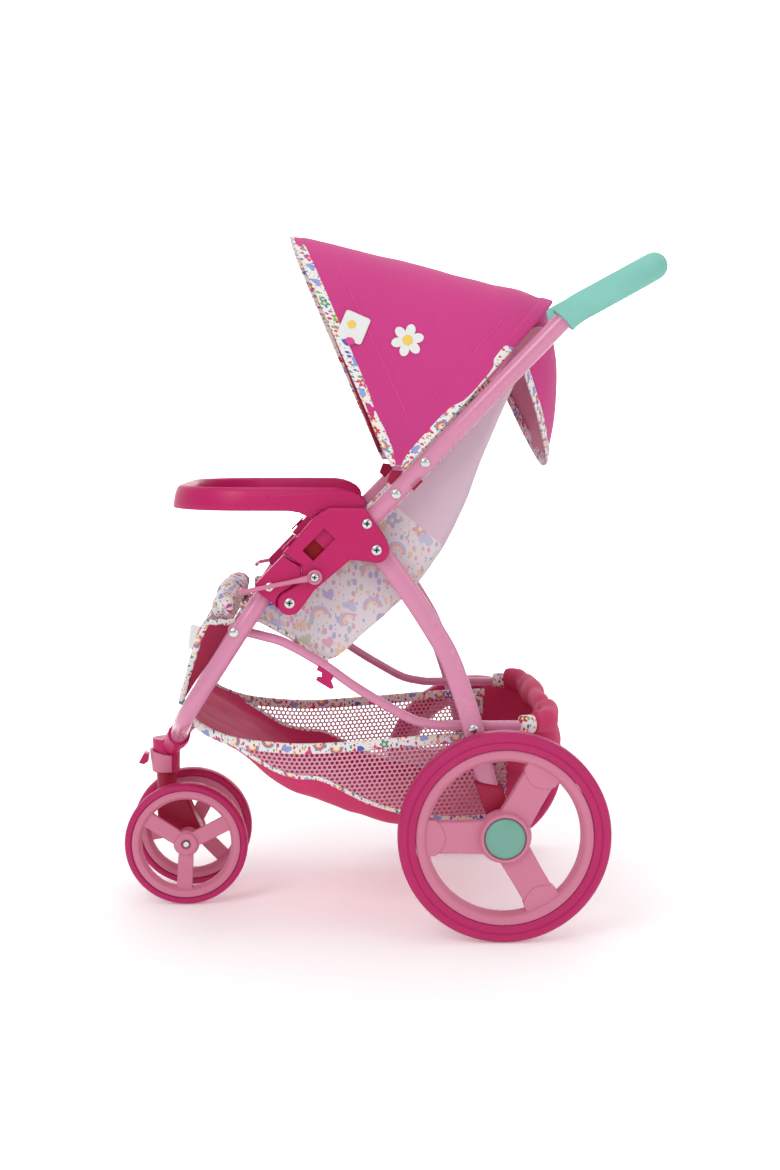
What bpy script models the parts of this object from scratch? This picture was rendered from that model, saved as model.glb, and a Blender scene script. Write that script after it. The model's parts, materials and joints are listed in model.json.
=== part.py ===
"""A doll's jogger stroller: folding tube frame, twin front caster, two large rear wheels, tray, canopy,
sling seat and shopping basket. Metres, +Z up, front towards -X, floor at Z = 0, symmetric about Y = 0."""
import math

import bmesh
import bpy
from mathutils import Matrix, Vector

MM = 0.001
GAP = 0.3                         # clearance between touching pieces, in millimetres

# Driving dimensions, in millimetres. Side-view points are (x, z).
FRAME_Y = 135.0                   # centre plane of the push tubes and front legs
REAR_LEG_Y = 133.5                # centre plane of the rear legs
RAIL_Y = 122.0                    # centre plane of the basket rail's sides
WHEEL_Y = 153.0                   # mid plane of a rear wheel
CASTER_Y = 33.0                   # mid plane of a front wheel
TUBE_R = 8.0                      # push tube radius
LEG_R = 7.8                       # front leg radius
RAIL_R = 4.2                      # basket rail radius
GRIP_R = 12.0                     # foam grip radius

FOLD_PIVOT = (-86.5, 293.5)       # housing to leg bracket
REAR_PIVOT = (-12.5, 338.4)       # housing to rear leg
RAIL_PIVOT = (-134.0, 268.0)      # front leg to rail
RAIL_STOP = (71.4, 182.7)         # rear leg to rail
BAIL_PIVOT = (-64.9, 316.0)       # housing to wire bail
BAIL_BAR = (-128.0, 303.4)        # the bail's turned-in end, in front of the leg
BAIL_END_Y = 124.0                # how far the bail's end reaches in
CANOPY_PIVOT = (4.0, 400.0)       # canopy bows

REAR_AXLE = (97.0, 92.0)
REAR_WHEEL_R = 92.0
REAR_TYRE_W = 20.0
REAR_RIM_R = 76.5
FRONT_AXLE = (-187.0, 57.0)
FRONT_WHEEL_R = 57.0
FRONT_TYRE_W = 16.0
FRONT_RIM_R = 50.5
STEM_X = -208.0                   # caster swivel axis

HOUSING_OUT = 147.0               # outer face of a hinge housing
HOUSING_IN = 123.0                # inner face of a hinge housing
HOUSING_WALL = 3.2
PIN_R = 2.3
PIN_HOLE_R = 2.7

SIDES = {"left": -1.0, "right": 1.0}

# Where each moving piece has its origin: a point (x, z) on the axis of the joint that moves it.
PIVOTS = {
    FOLD_PIVOT: ("front_leg", "leg_bracket", "front_yoke", "head_cover", "rail_rivet", "bracket_screw",
                 "seat_roll", "leg_panel"),
    REAR_PIVOT: ("rear_leg", "axle_foot", "rear_axle", "leg_rivet"),
    RAIL_PIVOT: ("basket_rail", "rail_hook", "basket"),
    BAIL_PIVOT: ("lock_bail",),
    CANOPY_PIVOT: ("canopy_bow_front",),
    REAR_AXLE: ("rear_tyre", "rear_rim", "hub_cap"),
    FRONT_AXLE: ("front_tyre", "front_rim"),
    (STEM_X, 0.0): ("caster_fork", "front_axle", "swivel_lock"),
}

# Colours as linear RGB, then roughness and metallic.
FINISHES = {
    "plastic_magenta": ((0.50, 0.012, 0.12), 0.35, 0.0),
    "plastic_deep": ((0.34, 0.006, 0.05), 0.45, 0.0),
    "paint_pink": ((0.76, 0.27, 0.48), 0.25, 0.0),
    "plastic_pink": ((0.70, 0.22, 0.40), 0.40, 0.0),
    "tyre": ((0.46, 0.02, 0.13), 0.55, 0.0),
    "foam_mint": ((0.24, 0.58, 0.50), 0.85, 0.0),
    "cap_mint": ((0.24, 0.54, 0.44), 0.40, 0.0),
    "steel": ((0.60, 0.61, 0.60), 0.28, 1.0),
    "canopy_cloth": ((0.56, 0.035, 0.22), 0.80, 0.0),
    "seat_cloth": ((0.80, 0.62, 0.68), 0.90, 0.0),
    "basket_cloth": ((0.52, 0.04, 0.16), 0.85, 0.0),
}


def clear_scene():
    for item in list(bpy.data.objects):
        bpy.data.objects.remove(item, do_unlink=True)


def new_collection(name):
    group = bpy.data.collections.new(name)
    bpy.context.scene.collection.children.link(group)
    return group


clear_scene()
PARTS = new_collection("doll_stroller")
CUTTERS = new_collection("cutters")


def finish(name):
    """The Principled material of that finish, made once."""
    if name in bpy.data.materials:
        return bpy.data.materials[name]
    colour, roughness, metallic = FINISHES[name]
    material = bpy.data.materials.new(name)
    material.use_nodes = True
    shader = material.node_tree.nodes["Principled BSDF"]
    shader.inputs["Base Color"].default_value = (*colour, 1.0)
    shader.inputs["Roughness"].default_value = roughness
    shader.inputs["Metallic"].default_value = metallic
    return material


# ---- building blocks ----------------------------------------------------------------------------


def mm(x, y, z):
    return Vector((x * MM, y * MM, z * MM))


def origin_of(name):
    """The point on its joint's axis where a moving part has its origin, else the world's origin."""
    kind = name.removesuffix("_left").removesuffix("_right")
    for (x, z), kinds in PIVOTS.items():
        if kind in kinds:
            return mm(x, 0.0, z)
    return mm(0.0, 0.0, 0.0)


def place(name, mesh, material, smooth=40.0):
    """A mesh as a named part with its finish, its origin on the axis it turns about."""
    origin = origin_of(name)
    mesh.transform(Matrix.Translation(-origin))
    thing = bpy.data.objects.new(name, mesh)
    thing.location = origin
    PARTS.objects.link(thing)
    mesh.materials.clear()
    mesh.materials.append(finish(material))
    mesh.shade_smooth()
    mesh.set_sharp_from_angle(angle=math.radians(smooth))
    return thing


def scratch(mesh, name="scratch"):
    """A mesh as a cutter: wire display, never rendered."""
    thing = bpy.data.objects.new(name, mesh)
    CUTTERS.objects.link(thing)
    thing.hide_render = True
    thing.display_type = "WIRE"
    return thing


def mesh_from(bm, name="shape"):
    bmesh.ops.recalc_face_normals(bm, faces=bm.faces)
    mesh = bpy.data.meshes.new(name)
    bm.to_mesh(mesh)
    bm.free()
    return mesh


def rounded_path(points, radii, step=14.0):
    """Corner points joined by straight runs, each corner rounded to its radius by an arc."""
    points = [Vector(p) for p in points]
    path = [points[0]]
    for before, corner, after, radius in zip(points, points[1:], points[2:], radii):
        back = (before - corner).normalized()
        on = (after - corner).normalized()
        bend = math.pi - back.angle(on)
        if bend < 0.01:
            path.append(corner)
            continue
        reach = radius * math.tan(bend / 2)
        centre = corner + (back + on).normalized() * (radius / math.cos(bend / 2))
        start = (corner + back * reach - centre).normalized()
        end = (corner + on * reach - centre).normalized()
        count = max(2, math.ceil(math.degrees(bend) / step))
        for i in range(count + 1):
            path.append(centre + start.slerp(end, i / count) * radius)
    path.append(points[-1])
    return path


def tube_mesh(path, radius, sides=2, flatten=1.0, middle_y=0.0):
    """A solid round bar along path (millimetres); flatten squeezes it along Y about middle_y."""
    curve = bpy.data.curves.new("tube", "CURVE")
    curve.dimensions = "3D"
    curve.bevel_depth = radius * MM
    curve.bevel_resolution = sides
    curve.use_fill_caps = True
    spline = curve.splines.new("POLY")
    spline.points.add(len(path) - 1)
    for point, where in zip(spline.points, path):
        point.co = (where[0] * MM, where[1] * MM, where[2] * MM, 1.0)
    thing = bpy.data.objects.new("tube", curve)
    CUTTERS.objects.link(thing)
    evaluated = thing.evaluated_get(bpy.context.evaluated_depsgraph_get())
    mesh = bpy.data.meshes.new_from_object(evaluated)
    mesh.transform(thing.matrix_world)
    bpy.data.objects.remove(thing)
    bm = bmesh.new()
    bm.from_mesh(mesh)
    bmesh.ops.remove_doubles(bm, verts=bm.verts, dist=0.00002)
    for vertex in bm.verts:
        vertex.co.y = middle_y * MM + (vertex.co.y - middle_y * MM) * flatten
    return mesh_from(bm, "tube")


def slab_mesh(outline, y_low, y_high, bevel=0.0):
    """An outline in the side view, (x, z) in millimetres, as a plate between two Y planes."""
    bm = bmesh.new()
    low = [bm.verts.new(mm(x, y_low, z)) for x, z in outline]
    face = bm.faces.new(low)
    grown = bmesh.ops.extrude_face_region(bm, geom=[face])
    top = [v for v in grown["geom"] if isinstance(v, bmesh.types.BMVert)]
    bmesh.ops.translate(bm, verts=top, vec=mm(0, y_high - y_low, 0))
    if bevel:
        rims = [e for e in bm.edges if abs(e.verts[0].co.y - e.verts[1].co.y) < 1e-6]
        bmesh.ops.bevel(bm, geom=rims, offset=bevel * MM, segments=1, profile=0.5, affect="EDGES",
                        clamp_overlap=True)
    return mesh_from(bm, "slab")


def drum_mesh(centre, radius, y_low, y_high, steps=20):
    """A disc or pin about a line along Y through centre (x, z)."""
    bm = bmesh.new()
    turn = Matrix.Rotation(math.pi / 2, 4, "X")
    middle = mm(centre[0], (y_low + y_high) / 2, centre[1])
    bmesh.ops.create_cone(bm, cap_ends=True, segments=steps, radius1=radius * MM, radius2=radius * MM,
                          depth=abs(y_high - y_low) * MM, matrix=Matrix.Translation(middle) @ turn)
    return mesh_from(bm, "drum")


def post_mesh(x, y, z_low, z_high, radius_low, radius_high=None, steps=20):
    """An upright round post, tapered when its two radii differ."""
    bm = bmesh.new()
    radius_high = radius_low if radius_high is None else radius_high
    bmesh.ops.create_cone(bm, cap_ends=True, segments=steps, radius1=radius_low * MM,
                          radius2=radius_high * MM, depth=(z_high - z_low) * MM,
                          matrix=Matrix.Translation(mm(x, y, (z_low + z_high) / 2)))
    return mesh_from(bm, "post")


def turned_mesh(profile, centre, steps=40):
    """A closed profile of (radius, y) points turned about a line along Y through centre (x, z).
    The points run round the section so that the outer side goes from high y to low y."""
    mesh = bpy.data.meshes.new("profile")
    count = len(profile)
    edges = [(i, (i + 1) % count) for i in range(count)]
    mesh.from_pydata([(radius * MM, 0.0, y * MM) for radius, y in profile], edges, [])
    thing = bpy.data.objects.new("profile", mesh)
    CUTTERS.objects.link(thing)
    screw = thing.modifiers.new("turn", "SCREW")
    screw.steps = steps
    screw.render_steps = steps
    screw.use_merge_vertices = True
    screw.merge_threshold = 0.00002
    bpy.context.view_layer.update()
    evaluated = thing.evaluated_get(bpy.context.evaluated_depsgraph_get())
    result = bpy.data.meshes.new_from_object(evaluated)
    bpy.data.objects.remove(thing)
    turn = Matrix.Rotation(-math.pi / 2, 4, "X")
    result.transform(Matrix.Translation(mm(centre[0], 0, centre[1])) @ turn)
    bm = bmesh.new()
    bm.from_mesh(result)
    bmesh.ops.remove_doubles(bm, verts=bm.verts, dist=0.00001)
    return mesh_from(bm, "turned")


def combine(base, others, operation):
    """base with each other mesh joined to it or cut from it, as a new mesh."""
    body = scratch(base, "body")
    tools = []
    for other in others:
        tool = scratch(other, "tool")
        tools.append(tool)
        step = body.modifiers.new("bool", "BOOLEAN")
        step.operation = operation
        step.solver = "EXACT"
        step.object = tool
    bpy.context.view_layer.update()
    result = bpy.data.meshes.new_from_object(body.evaluated_get(bpy.context.evaluated_depsgraph_get()))
    for thing in [body, *tools]:
        bpy.data.objects.remove(thing)
    bm = bmesh.new()
    bm.from_mesh(result)
    bmesh.ops.remove_doubles(bm, verts=bm.verts, dist=0.000005)
    bmesh.ops.dissolve_degenerate(bm, edges=bm.edges, dist=0.000005)
    return mesh_from(bm, "combined")


def join(base, *others):
    return combine(base, others, "UNION")


def cut(base, *others):
    return combine(base, others, "DIFFERENCE")


def shell_mesh(rows, thickness):
    """A cloth shell: a grid of points in rows, thickened about itself, with closed edges."""
    bm = bmesh.new()
    grid = [[bm.verts.new(mm(*p)) for p in row] for row in rows]
    for lower, upper in zip(grid, grid[1:]):
        for i in range(len(lower) - 1):
            bm.faces.new((lower[i], lower[i + 1], upper[i + 1], upper[i]))
    sheet = scratch(mesh_from(bm, "sheet"), "sheet")
    skin = sheet.modifiers.new("skin", "SOLIDIFY")
    skin.thickness = thickness * MM
    skin.offset = 0.0
    bpy.context.view_layer.update()
    result = bpy.data.meshes.new_from_object(sheet.evaluated_get(bpy.context.evaluated_depsgraph_get()))
    bpy.data.objects.remove(sheet)
    return result


def mirror_y(points):
    return [Vector((p[0], -p[1], p[2])) for p in points]


def on_side(points, sign):
    """Points drawn for the left side, carried to the side with that sign."""
    return [Vector((p[0], -sign * p[1], p[2])) for p in points]


def along(start, end, share):
    return tuple(a + (b - a) * share for a, b in zip(start, end))


# ---- push frame ---------------------------------------------------------------------------------

TUBE_FOOT = (-42.0, -FRAME_Y, 338.6)
TUBE_BEND = (153.0, -FRAME_Y, 539.6)
TUBE_CORNER = (231.0, -FRAME_Y, 582.0)
GRIP_MOUTH = 0.962                # share of the straight run where the foam starts


def handle_points(first):
    """The push tube's corner points from first, over the handle, to first's mirror image."""
    near = [first, TUBE_BEND, TUBE_CORNER]
    far = [tuple(p) for p in reversed(mirror_y(near))]
    return near + far


def build_push_handle():
    path = rounded_path(handle_points(TUBE_FOOT), [60, 52, 52, 60], 18)
    place("push_handle", tube_mesh(path, TUBE_R, 3), "paint_pink")
    mouth = along(TUBE_FOOT, TUBE_BEND, GRIP_MOUTH)
    foam = rounded_path(handle_points(mouth), [60, 52, 52, 60], 18)
    outer = tube_mesh(foam, GRIP_R, 3)
    inner = tube_mesh(path, TUBE_R + GAP, 3)
    place("handle_grip", cut(outer, inner), "foam_mint")


HOUSING_OUTLINE = [(-52.8, 374.0), (-21.9, 373.7), (-5.0, 349.0)]
HOUSING_EDGE = [(-35.0, 330.2), (-65.2, 304.4)]
LOBE_R = 10.5
SEAM_TOP = (-91.7, 335.7)
SEAM_KINK = (-76.3, 325.3)
SEAM_LOW = (-75.5, 312.5)
FRONT_SLOPE_TOP = (-64.1, 367.2)


def arc_points(centre, radius, start_deg, end_deg, count):
    """Points on an arc in the side view, from one angle to the other."""
    result = []
    for i in range(count + 1):
        angle = math.radians(start_deg + (end_deg - start_deg) * i / count)
        result.append((centre[0] + radius * math.cos(angle), centre[1] + radius * math.sin(angle)))
    return result


def housing_outline():
    rear_lobe = arc_points(REAR_PIVOT, LOBE_R + 0.6, 22, -112, 8)
    fold_lobe = arc_points(FOLD_PIVOT, LOBE_R, -32, -250, 12)
    return [*HOUSING_OUTLINE, *rear_lobe, *HOUSING_EDGE, *fold_lobe, SEAM_LOW, SEAM_KINK, SEAM_TOP,
            FRONT_SLOPE_TOP]


WINDOW_CENTRE = (-61.4, 343.2)
SLOPE_DEG = 45.5                  # direction of the fold-lock slide


def slope_box(along_range, across_range, y_low, y_high, bevel=0.0):
    """A block in the fold lock's own axes: along the slope and across it, from the window's centre."""
    angle = math.radians(SLOPE_DEG)
    u = Vector((math.cos(angle), math.sin(angle)))
    v = Vector((-u.y, u.x))
    c = Vector(WINDOW_CENTRE)
    (a0, a1), (b0, b1) = along_range, across_range
    corners = [c + u * a + v * b for a, b in ((a0, b0), (a1, b0), (a1, b1), (a0, b1))]
    return slab_mesh([tuple(p) for p in corners], y_low, y_high, bevel)


def side_range(sign, inner, outer):
    """The Y range between two distances from the middle, on that side, low value first."""
    return tuple(sorted((sign * inner, sign * outer)))


def build_housing(side, sign):
    y_low, y_high = side_range(sign, HOUSING_IN, HOUSING_OUT)
    body = slab_mesh(housing_outline(), y_low, y_high, 1.4)
    room = side_range(sign, HOUSING_IN + HOUSING_WALL, HOUSING_OUT - HOUSING_WALL)
    cavity = [(-54.0, 369.6), (-33.0, 369.6), (-27.0, 378.0), (60.0, 440.0), (60.0, 300.0), (-60.0, 270.0),
              (-130.0, 270.0), (-130.0, 300.0), (-98.5, 326.5), (-62.5, 363.5)]
    window = slope_box((-13.2, 13.2), (-6.4, 6.4), *side_range(sign, HOUSING_OUT - 6, HOUSING_OUT + 2))
    slot = slope_box((-20.0, -0.2), (12.0, 22.0), *side_range(sign, 133.6, 141.4))
    holes = [drum_mesh(p, PIN_HOLE_R, *side_range(sign, HOUSING_IN - 2, HOUSING_OUT + 2), 12)
             for p in (FOLD_PIVOT, REAR_PIVOT)]
    screw_hole = drum_mesh(HOUSING_SCREW, 1.9, *side_range(sign, HOUSING_OUT - 6, HOUSING_OUT + 2), 12)
    body = cut(body, slab_mesh(cavity, *room), window, slot, *holes, screw_hole)
    place(f"hinge_housing_{side}", body, "plastic_magenta", 30)


HOUSING_SCREW = (-20.6, 360.7)
BRACKET_SCREW = (-103.5, 307.4)


def build_lock_slider(side, sign):
    """The fold-lock slide seen in the window, with its thumb tab on the front slope."""
    flag = slope_box((0.3, 14.4), (-7.6, 9.0), *side_range(sign, 139.6, 143.2))
    bar = slope_box((-18.4, 15.0), (8.2, 12.4), *side_range(sign, 134.8, 143.4))
    neck = slope_box((-19.0, -11.0), (11.4, 19.0), *side_range(sign, 134.4, 140.8))
    tab = slope_box((-25.5, -8.5), (18.2, 19.6), *side_range(sign, 131.0, 144.0))
    place(f"lock_slider_{side}", join(flag, bar, neck, tab), "plastic_magenta", 30)


BRACKET_OUTLINE = [(-96.6, 289.9), (-115.3, 304.9), (-115.2, 309.8), (-92.0, 333.6), (-77.2, 324.4),
                   (-76.6, 313.5)]


def build_leg_bracket(side, sign):
    """The moulded cover on top of a front leg, with the lug that turns on the fold pin."""
    lobe = arc_points(FOLD_PIVOT, LOBE_R + 1.2, 112, 205, 6)
    outline = [*BRACKET_OUTLINE, *lobe]
    cover = slab_mesh(outline, *side_range(sign, HOUSING_IN, HOUSING_OUT), 1.4)
    lug_outline = [(-104.0, 298.0), *arc_points(FOLD_PIVOT, 8.0, -100, 60, 8), (-88.0, 312.0),
                   (-100.0, 312.0)]
    lug = slab_mesh(lug_outline, *side_range(sign, 127.2, 142.8))
    leg = tube_mesh(front_leg_path(sign), LEG_R + GAP, 3)
    pin = drum_mesh(FOLD_PIVOT, PIN_HOLE_R, *side_range(sign, 110, 160), 12)
    screw = drum_mesh(BRACKET_SCREW, 1.9, *side_range(sign, 140, 152), 12)
    body = cut(join(cover, lug), leg, pin, screw)
    place(f"leg_bracket_{side}", body, "plastic_magenta", 30)


def build_screw(name, centre, sign, inner, outer, shank_r, head_r=4.6, head_h=1.7):
    """A dome-headed screw or rivet along Y: its shank between two planes, its head outside."""
    head = [(head_r, outer), (head_r * 0.62, outer + head_h), (0.0, outer + head_h), (0.0, inner),
            (shank_r, inner), (shank_r, outer)]
    profile = [(r, sign * y) for r, y in head]
    place(name, turned_mesh(profile, centre, 10), "steel", 30)


def build_bail(side, sign):
    """A wire safety hook: an eye on the housing and a turned-in end across the front of the leg."""
    y = 152.2
    x, z = BAIL_BAR
    eye_x, eye_z = BAIL_PIVOT
    corners = [(eye_x, -y, eye_z), (x, -y, z), (x, -BAIL_END_Y, z)]
    wire = tube_mesh(rounded_path(on_side(corners, sign), [4], 20), 1.9, 1)
    eye = drum_mesh(BAIL_PIVOT, 6.2, *side_range(sign, y - 2.2, y + 2.2), 20)
    hole = drum_mesh(BAIL_PIVOT, 2.4, *side_range(sign, y - 5, y + 5), 12)
    place(f"lock_bail_{side}", cut(join(wire, eye), hole), "plastic_pink")


# ---- tray ---------------------------------------------------------------------------------------

TRAY_LOW = 371.4
TRAY_HIGH = 391.4
TRAY_REAR = -22.0
TRAY_FRONT = -191.5


def tray_loop(inset, z):
    """The tray's plan outline, a rounded bay open at the rear, drawn inset from its outer edge."""
    half = 137.0 - inset
    front = TRAY_FRONT + inset
    radius = 70.0 - inset
    left = []
    for i in range(9):
        angle = math.radians(180 + 90 * i / 8)
        left.append((front + radius + radius * math.cos(angle), -half + radius + radius * math.sin(angle), z))
    return left


def build_tray():
    """A deep band round the front and sides, with lugs that stand on the housings."""
    sections = [(0.0, TRAY_LOW), (3.4, TRAY_HIGH - 4.0), (6.4, TRAY_HIGH), (10.4, TRAY_HIGH - 3.4),
                (11.4, TRAY_HIGH - 11.0), (7.6, TRAY_LOW)]
    bm = bmesh.new()
    rings = []
    for inset, z in sections:
        left = tray_loop(inset, z)
        rear = (TRAY_REAR, left[-1][1], z)
        half = [*left, rear]
        loop = [*[(x, -y, w) for x, y, w in reversed(half)], *half]
        rings.append([bm.verts.new(mm(*p)) for p in loop])
    for a, b in zip(rings, rings[1:] + rings[:1]):
        for i in range(len(a) - 1):
            bm.faces.new((a[i], a[i + 1], b[i + 1], b[i]))
    bm.faces.new([ring[0] for ring in rings])
    bm.faces.new([ring[-1] for ring in reversed(rings)])
    band = mesh_from(bm, "band")
    lug_outline = [(-95.0, 371.4), (-73.1, 372.6), (-57.4, 366.2), (-50.6, 374.4), (-21.4, 374.1),
                   (-22.0, 381.0), (-27.0, 386.5), (-36.0, 390.0), (-95.0, 387.0)]
    lugs = [slab_mesh(lug_outline, *side_range(sign, 126.2, 137.2)) for sign in SIDES.values()]
    trim_outline = [(-10.0, 376.0), (-21.4, 381.0), (-27.0, 387.0), (-38.0, 391.0), (-38.0, 400.0),
                    (-10.0, 400.0)]
    trim = slab_mesh(trim_outline, -150, 150)
    housings = [slab_mesh([(-92.3, 336.2), (-64.6, 367.8), (-53.1, 374.5), (0.0, 374.1), (0.0, 336.0)],
                          *side_range(sign, 110, 150)) for sign in SIDES.values()]
    place("tray", cut(join(band, *lugs), trim, *housings), "plastic_magenta", 35)


# ---- front legs and caster ----------------------------------------------------------------------

LEG_TOP = (-96.0, 319.0)
LEG_BEND = (-176.5, 195.5)
LEG_SOCKET = (-193.0, 158.0)
SOCKET_Y = 40.0


def front_leg_path(sign):
    points = [(LEG_TOP[0], -FRAME_Y, LEG_TOP[1]), (LEG_BEND[0], -FRAME_Y, LEG_BEND[1]),
              (LEG_SOCKET[0], -SOCKET_Y, LEG_SOCKET[1])]
    return rounded_path(on_side(points, sign), [42.0], 10)


def build_front_leg(side, sign):
    leg = tube_mesh(front_leg_path(sign), LEG_R, 3)
    pin = drum_mesh(RAIL_PIVOT, PIN_HOLE_R, *side_range(sign, 110, 160), 12)
    screw = drum_mesh(BRACKET_SCREW, 1.9, *side_range(sign, 136, 152), 12)
    place(f"front_leg_{side}", cut(leg, pin, screw), "paint_pink")


def build_yoke():
    """The front casting: two sockets for the legs and the upright barrel of the caster."""
    barrel = post_mesh(STEM_X, 0, 118, 150, 12.2, 13.0, 28)
    arms = []
    bores = []
    for sign in SIDES.values():
        path = front_leg_path(sign)
        inward = (path[-1] - path[-2]).normalized()
        mouth = path[-1] - inward * 15
        arms.append(tube_mesh([mouth, path[-1] + inward * 3], LEG_R + 2.6, 4))
        arms.append(tube_mesh([path[-1] + inward * 2.5, Vector((STEM_X + 3, 0, 141))], LEG_R + 1.6, 3))
        bores.append(tube_mesh([*path[:-1], path[-1] + inward * GAP], LEG_R + GAP, 3))
    shape = join(barrel, *arms)
    bore = post_mesh(STEM_X, 0, 110, 143, 5.6, steps=20)
    relief = post_mesh(STEM_X, 0, 100, 118.3, 30, steps=12)
    place("front_yoke", cut(shape, *bores, bore, relief), "plastic_magenta", 35)


def build_head_cover():
    """The lighter nose shell clipped round the front of the barrel."""
    outer = post_mesh(STEM_X, 0, 119, 146, 13.4, 16.4, 32)
    inner = post_mesh(STEM_X, 0, 110, 160, 13.0, 13.6, 28)
    rear = slab_mesh([(STEM_X + 6, 100), (STEM_X + 60, 100), (STEM_X + 60, 170), (STEM_X + 6, 170)], -40, 40)
    crown = slab_mesh([(STEM_X - 30, 150), (STEM_X - 30, 143), (STEM_X - 4, 137), (STEM_X + 30, 131),
                       (STEM_X + 30, 160)], -40, 40)
    place("head_cover", cut(outer, inner, rear, crown), "plastic_pink", 35)


def build_swivel_lock():
    """The thumb tab that drops into the caster to hold it straight."""
    x = STEM_X - 17.2
    outline = [(x + 0.6, 135), (x - 3.4, 136.5), (x - 8.6, 127.0), (x - 4.0, 125.6), (x - 0.2, 128.0)]
    place("swivel_lock", slab_mesh(outline, -6.0, 6.0, 0.6), "plastic_magenta", 30)


def build_caster():
    """The swivelling fork: stem, neck and a web down to the axle between the twin wheels."""
    stem = post_mesh(STEM_X, 0, 100, 141, 5.2, 5.0, 20)
    neck = post_mesh(STEM_X, 0, 86, 117.6, 8.6, 9.6, 24)
    web = slab_mesh([(STEM_X - 8.6, 100), (STEM_X + 9, 100), (STEM_X + 20, 93), (FRONT_AXLE[0] + 11, 66),
                     (FRONT_AXLE[0] + 10, 50), (FRONT_AXLE[0], 46), (FRONT_AXLE[0] - 12, 50),
                     (FRONT_AXLE[0] - 28, 62), (STEM_X - 8.6, 84)], -10.5, 10.5, 1.5)
    axle = drum_mesh(FRONT_AXLE, 2.5 + GAP, -30, 30, 16)
    place("caster_fork", cut(join(neck, stem, web), axle), "plastic_deep", 35)
    place("front_axle", drum_mesh(FRONT_AXLE, 2.5, -39.0, 39.0, 16), "steel")


def tyre_profile(radius, inner, width, middle):
    """A tyre's section: flat tread, stepped shoulders and bead, about its mid plane."""
    half = width / 2
    return [(radius, middle + half * 0.45), (radius, middle - half * 0.45),
            (radius - 2.2, middle - half * 0.86), (radius - 5.5, middle - half), (inner, middle - half),
            (inner, middle + half), (radius - 5.5, middle + half), (radius - 2.2, middle + half * 0.86)]


def rim_ring_profile(outer, lip, web, width, middle):
    """A rim's section: a channel with a lip on each face."""
    half = width / 2
    return [(outer, middle + half), (outer, middle - half), (lip, middle - half), (web, middle - half * 0.45),
            (web, middle + half * 0.45), (lip, middle + half)]


def spoke_mesh(centre, angle_deg, start, end, half_start, half_end, y_low, y_high, bevel):
    """A flat spoke from near the hub to inside the rim."""
    angle = math.radians(angle_deg)
    u = Vector((math.cos(angle), math.sin(angle)))
    v = Vector((-u.y, u.x))
    c = Vector(centre)
    corners = [c + u * start - v * half_start, c + u * end - v * half_end, c + u * end + v * half_end,
               c + u * start + v * half_start]
    return slab_mesh([tuple(p) for p in corners], y_low, y_high, bevel)


def build_rear_wheel(side, sign):
    middle = sign * WHEEL_Y
    tyre = tyre_profile(REAR_WHEEL_R, REAR_RIM_R + GAP, REAR_TYRE_W, middle)
    place(f"rear_tyre_{side}", turned_mesh(tyre, REAR_AXLE, 40), "tyre", 35)
    ring = turned_mesh(rim_ring_profile(REAR_RIM_R, 68.0, 66.0, 18.0, middle), REAR_AXLE, 40)
    hub = drum_mesh(REAR_AXLE, 21.5, *side_range(sign, WHEEL_Y - 10.5, WHEEL_Y + 10.0), 28)
    faces = side_range(sign, WHEEL_Y - 6, WHEEL_Y + 6)
    spokes = [spoke_mesh(REAR_AXLE, angle, 15, 69, 14.5, 14.0, *faces, 1.6) for angle in (60, 180, 300)]
    bore = drum_mesh(REAR_AXLE, 3.3, *side_range(sign, 120, 180), 16)
    seat = drum_mesh(REAR_AXLE, 18.0, *side_range(sign, WHEEL_Y + 7.2, WHEEL_Y + 16), 28)
    place(f"rear_rim_{side}", cut(join(ring, hub, *spokes), bore, seat), "plastic_pink", 35)
    cap_low = WHEEL_Y + 7.6
    cap = [(17.6, cap_low + 3.0), (16.0, cap_low + 4.4), (9.0, cap_low + 5.4), (0.0, cap_low + 5.8),
           (0.0, cap_low), (17.6, cap_low)]
    place(f"hub_cap_{side}", turned_mesh([(r, sign * y) for r, y in cap], REAR_AXLE, 32), "cap_mint", 30)


def build_front_wheel(side, sign):
    middle = sign * CASTER_Y
    tyre = tyre_profile(FRONT_WHEEL_R, FRONT_RIM_R + GAP, FRONT_TYRE_W, middle)
    place(f"front_tyre_{side}", turned_mesh(tyre, FRONT_AXLE, 28), "tyre", 35)
    ring = turned_mesh(rim_ring_profile(FRONT_RIM_R, 43.5, 41.5, 14.0, middle), FRONT_AXLE, 28)
    hub = drum_mesh(FRONT_AXLE, 10.5, *side_range(sign, CASTER_Y - 21.0, CASTER_Y + 6.5), 24)
    faces = side_range(sign, CASTER_Y - 1, CASTER_Y + 4)
    angles = (27, 147, 267) if sign < 0 else (63, 190, 314)
    spokes = [spoke_mesh(FRONT_AXLE, angle, 6, 44, 7.2, 6.8, *faces, 0.8) for angle in angles]
    bore = drum_mesh(FRONT_AXLE, 2.8, *side_range(sign, 0, 60), 16)
    place(f"front_rim_{side}", cut(join(ring, hub, *spokes), bore), "plastic_pink", 35)


# ---- rear frame ---------------------------------------------------------------------------------

REAR_LEG_POINTS = [(-12.5, 340.0), (13.8, 304.0), (33.7, 273.7), (49.3, 246.7), (59.5, 220.0), (69.4, 189.8),
                   (75.0, 168.0), (86.0, 124.0)]


def rear_leg_path(sign):
    return [Vector((x, sign * REAR_LEG_Y, z)) for x, z in REAR_LEG_POINTS]


def smooth_path(points, pieces=3):
    """A Catmull-Rom curve through the points."""
    result = [points[0]]
    for i in range(len(points) - 1):
        before = points[max(i - 1, 0)]
        a, b = points[i], points[i + 1]
        after = points[min(i + 2, len(points) - 1)]
        for k in range(1, pieces + 1):
            t = k / pieces
            result.append(0.5 * (2 * a + (b - before) * t + (2 * before - 5 * a + 4 * b - after) * t * t
                                 + (3 * a - before - 3 * b + after) * t ** 3))
    return result


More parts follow.
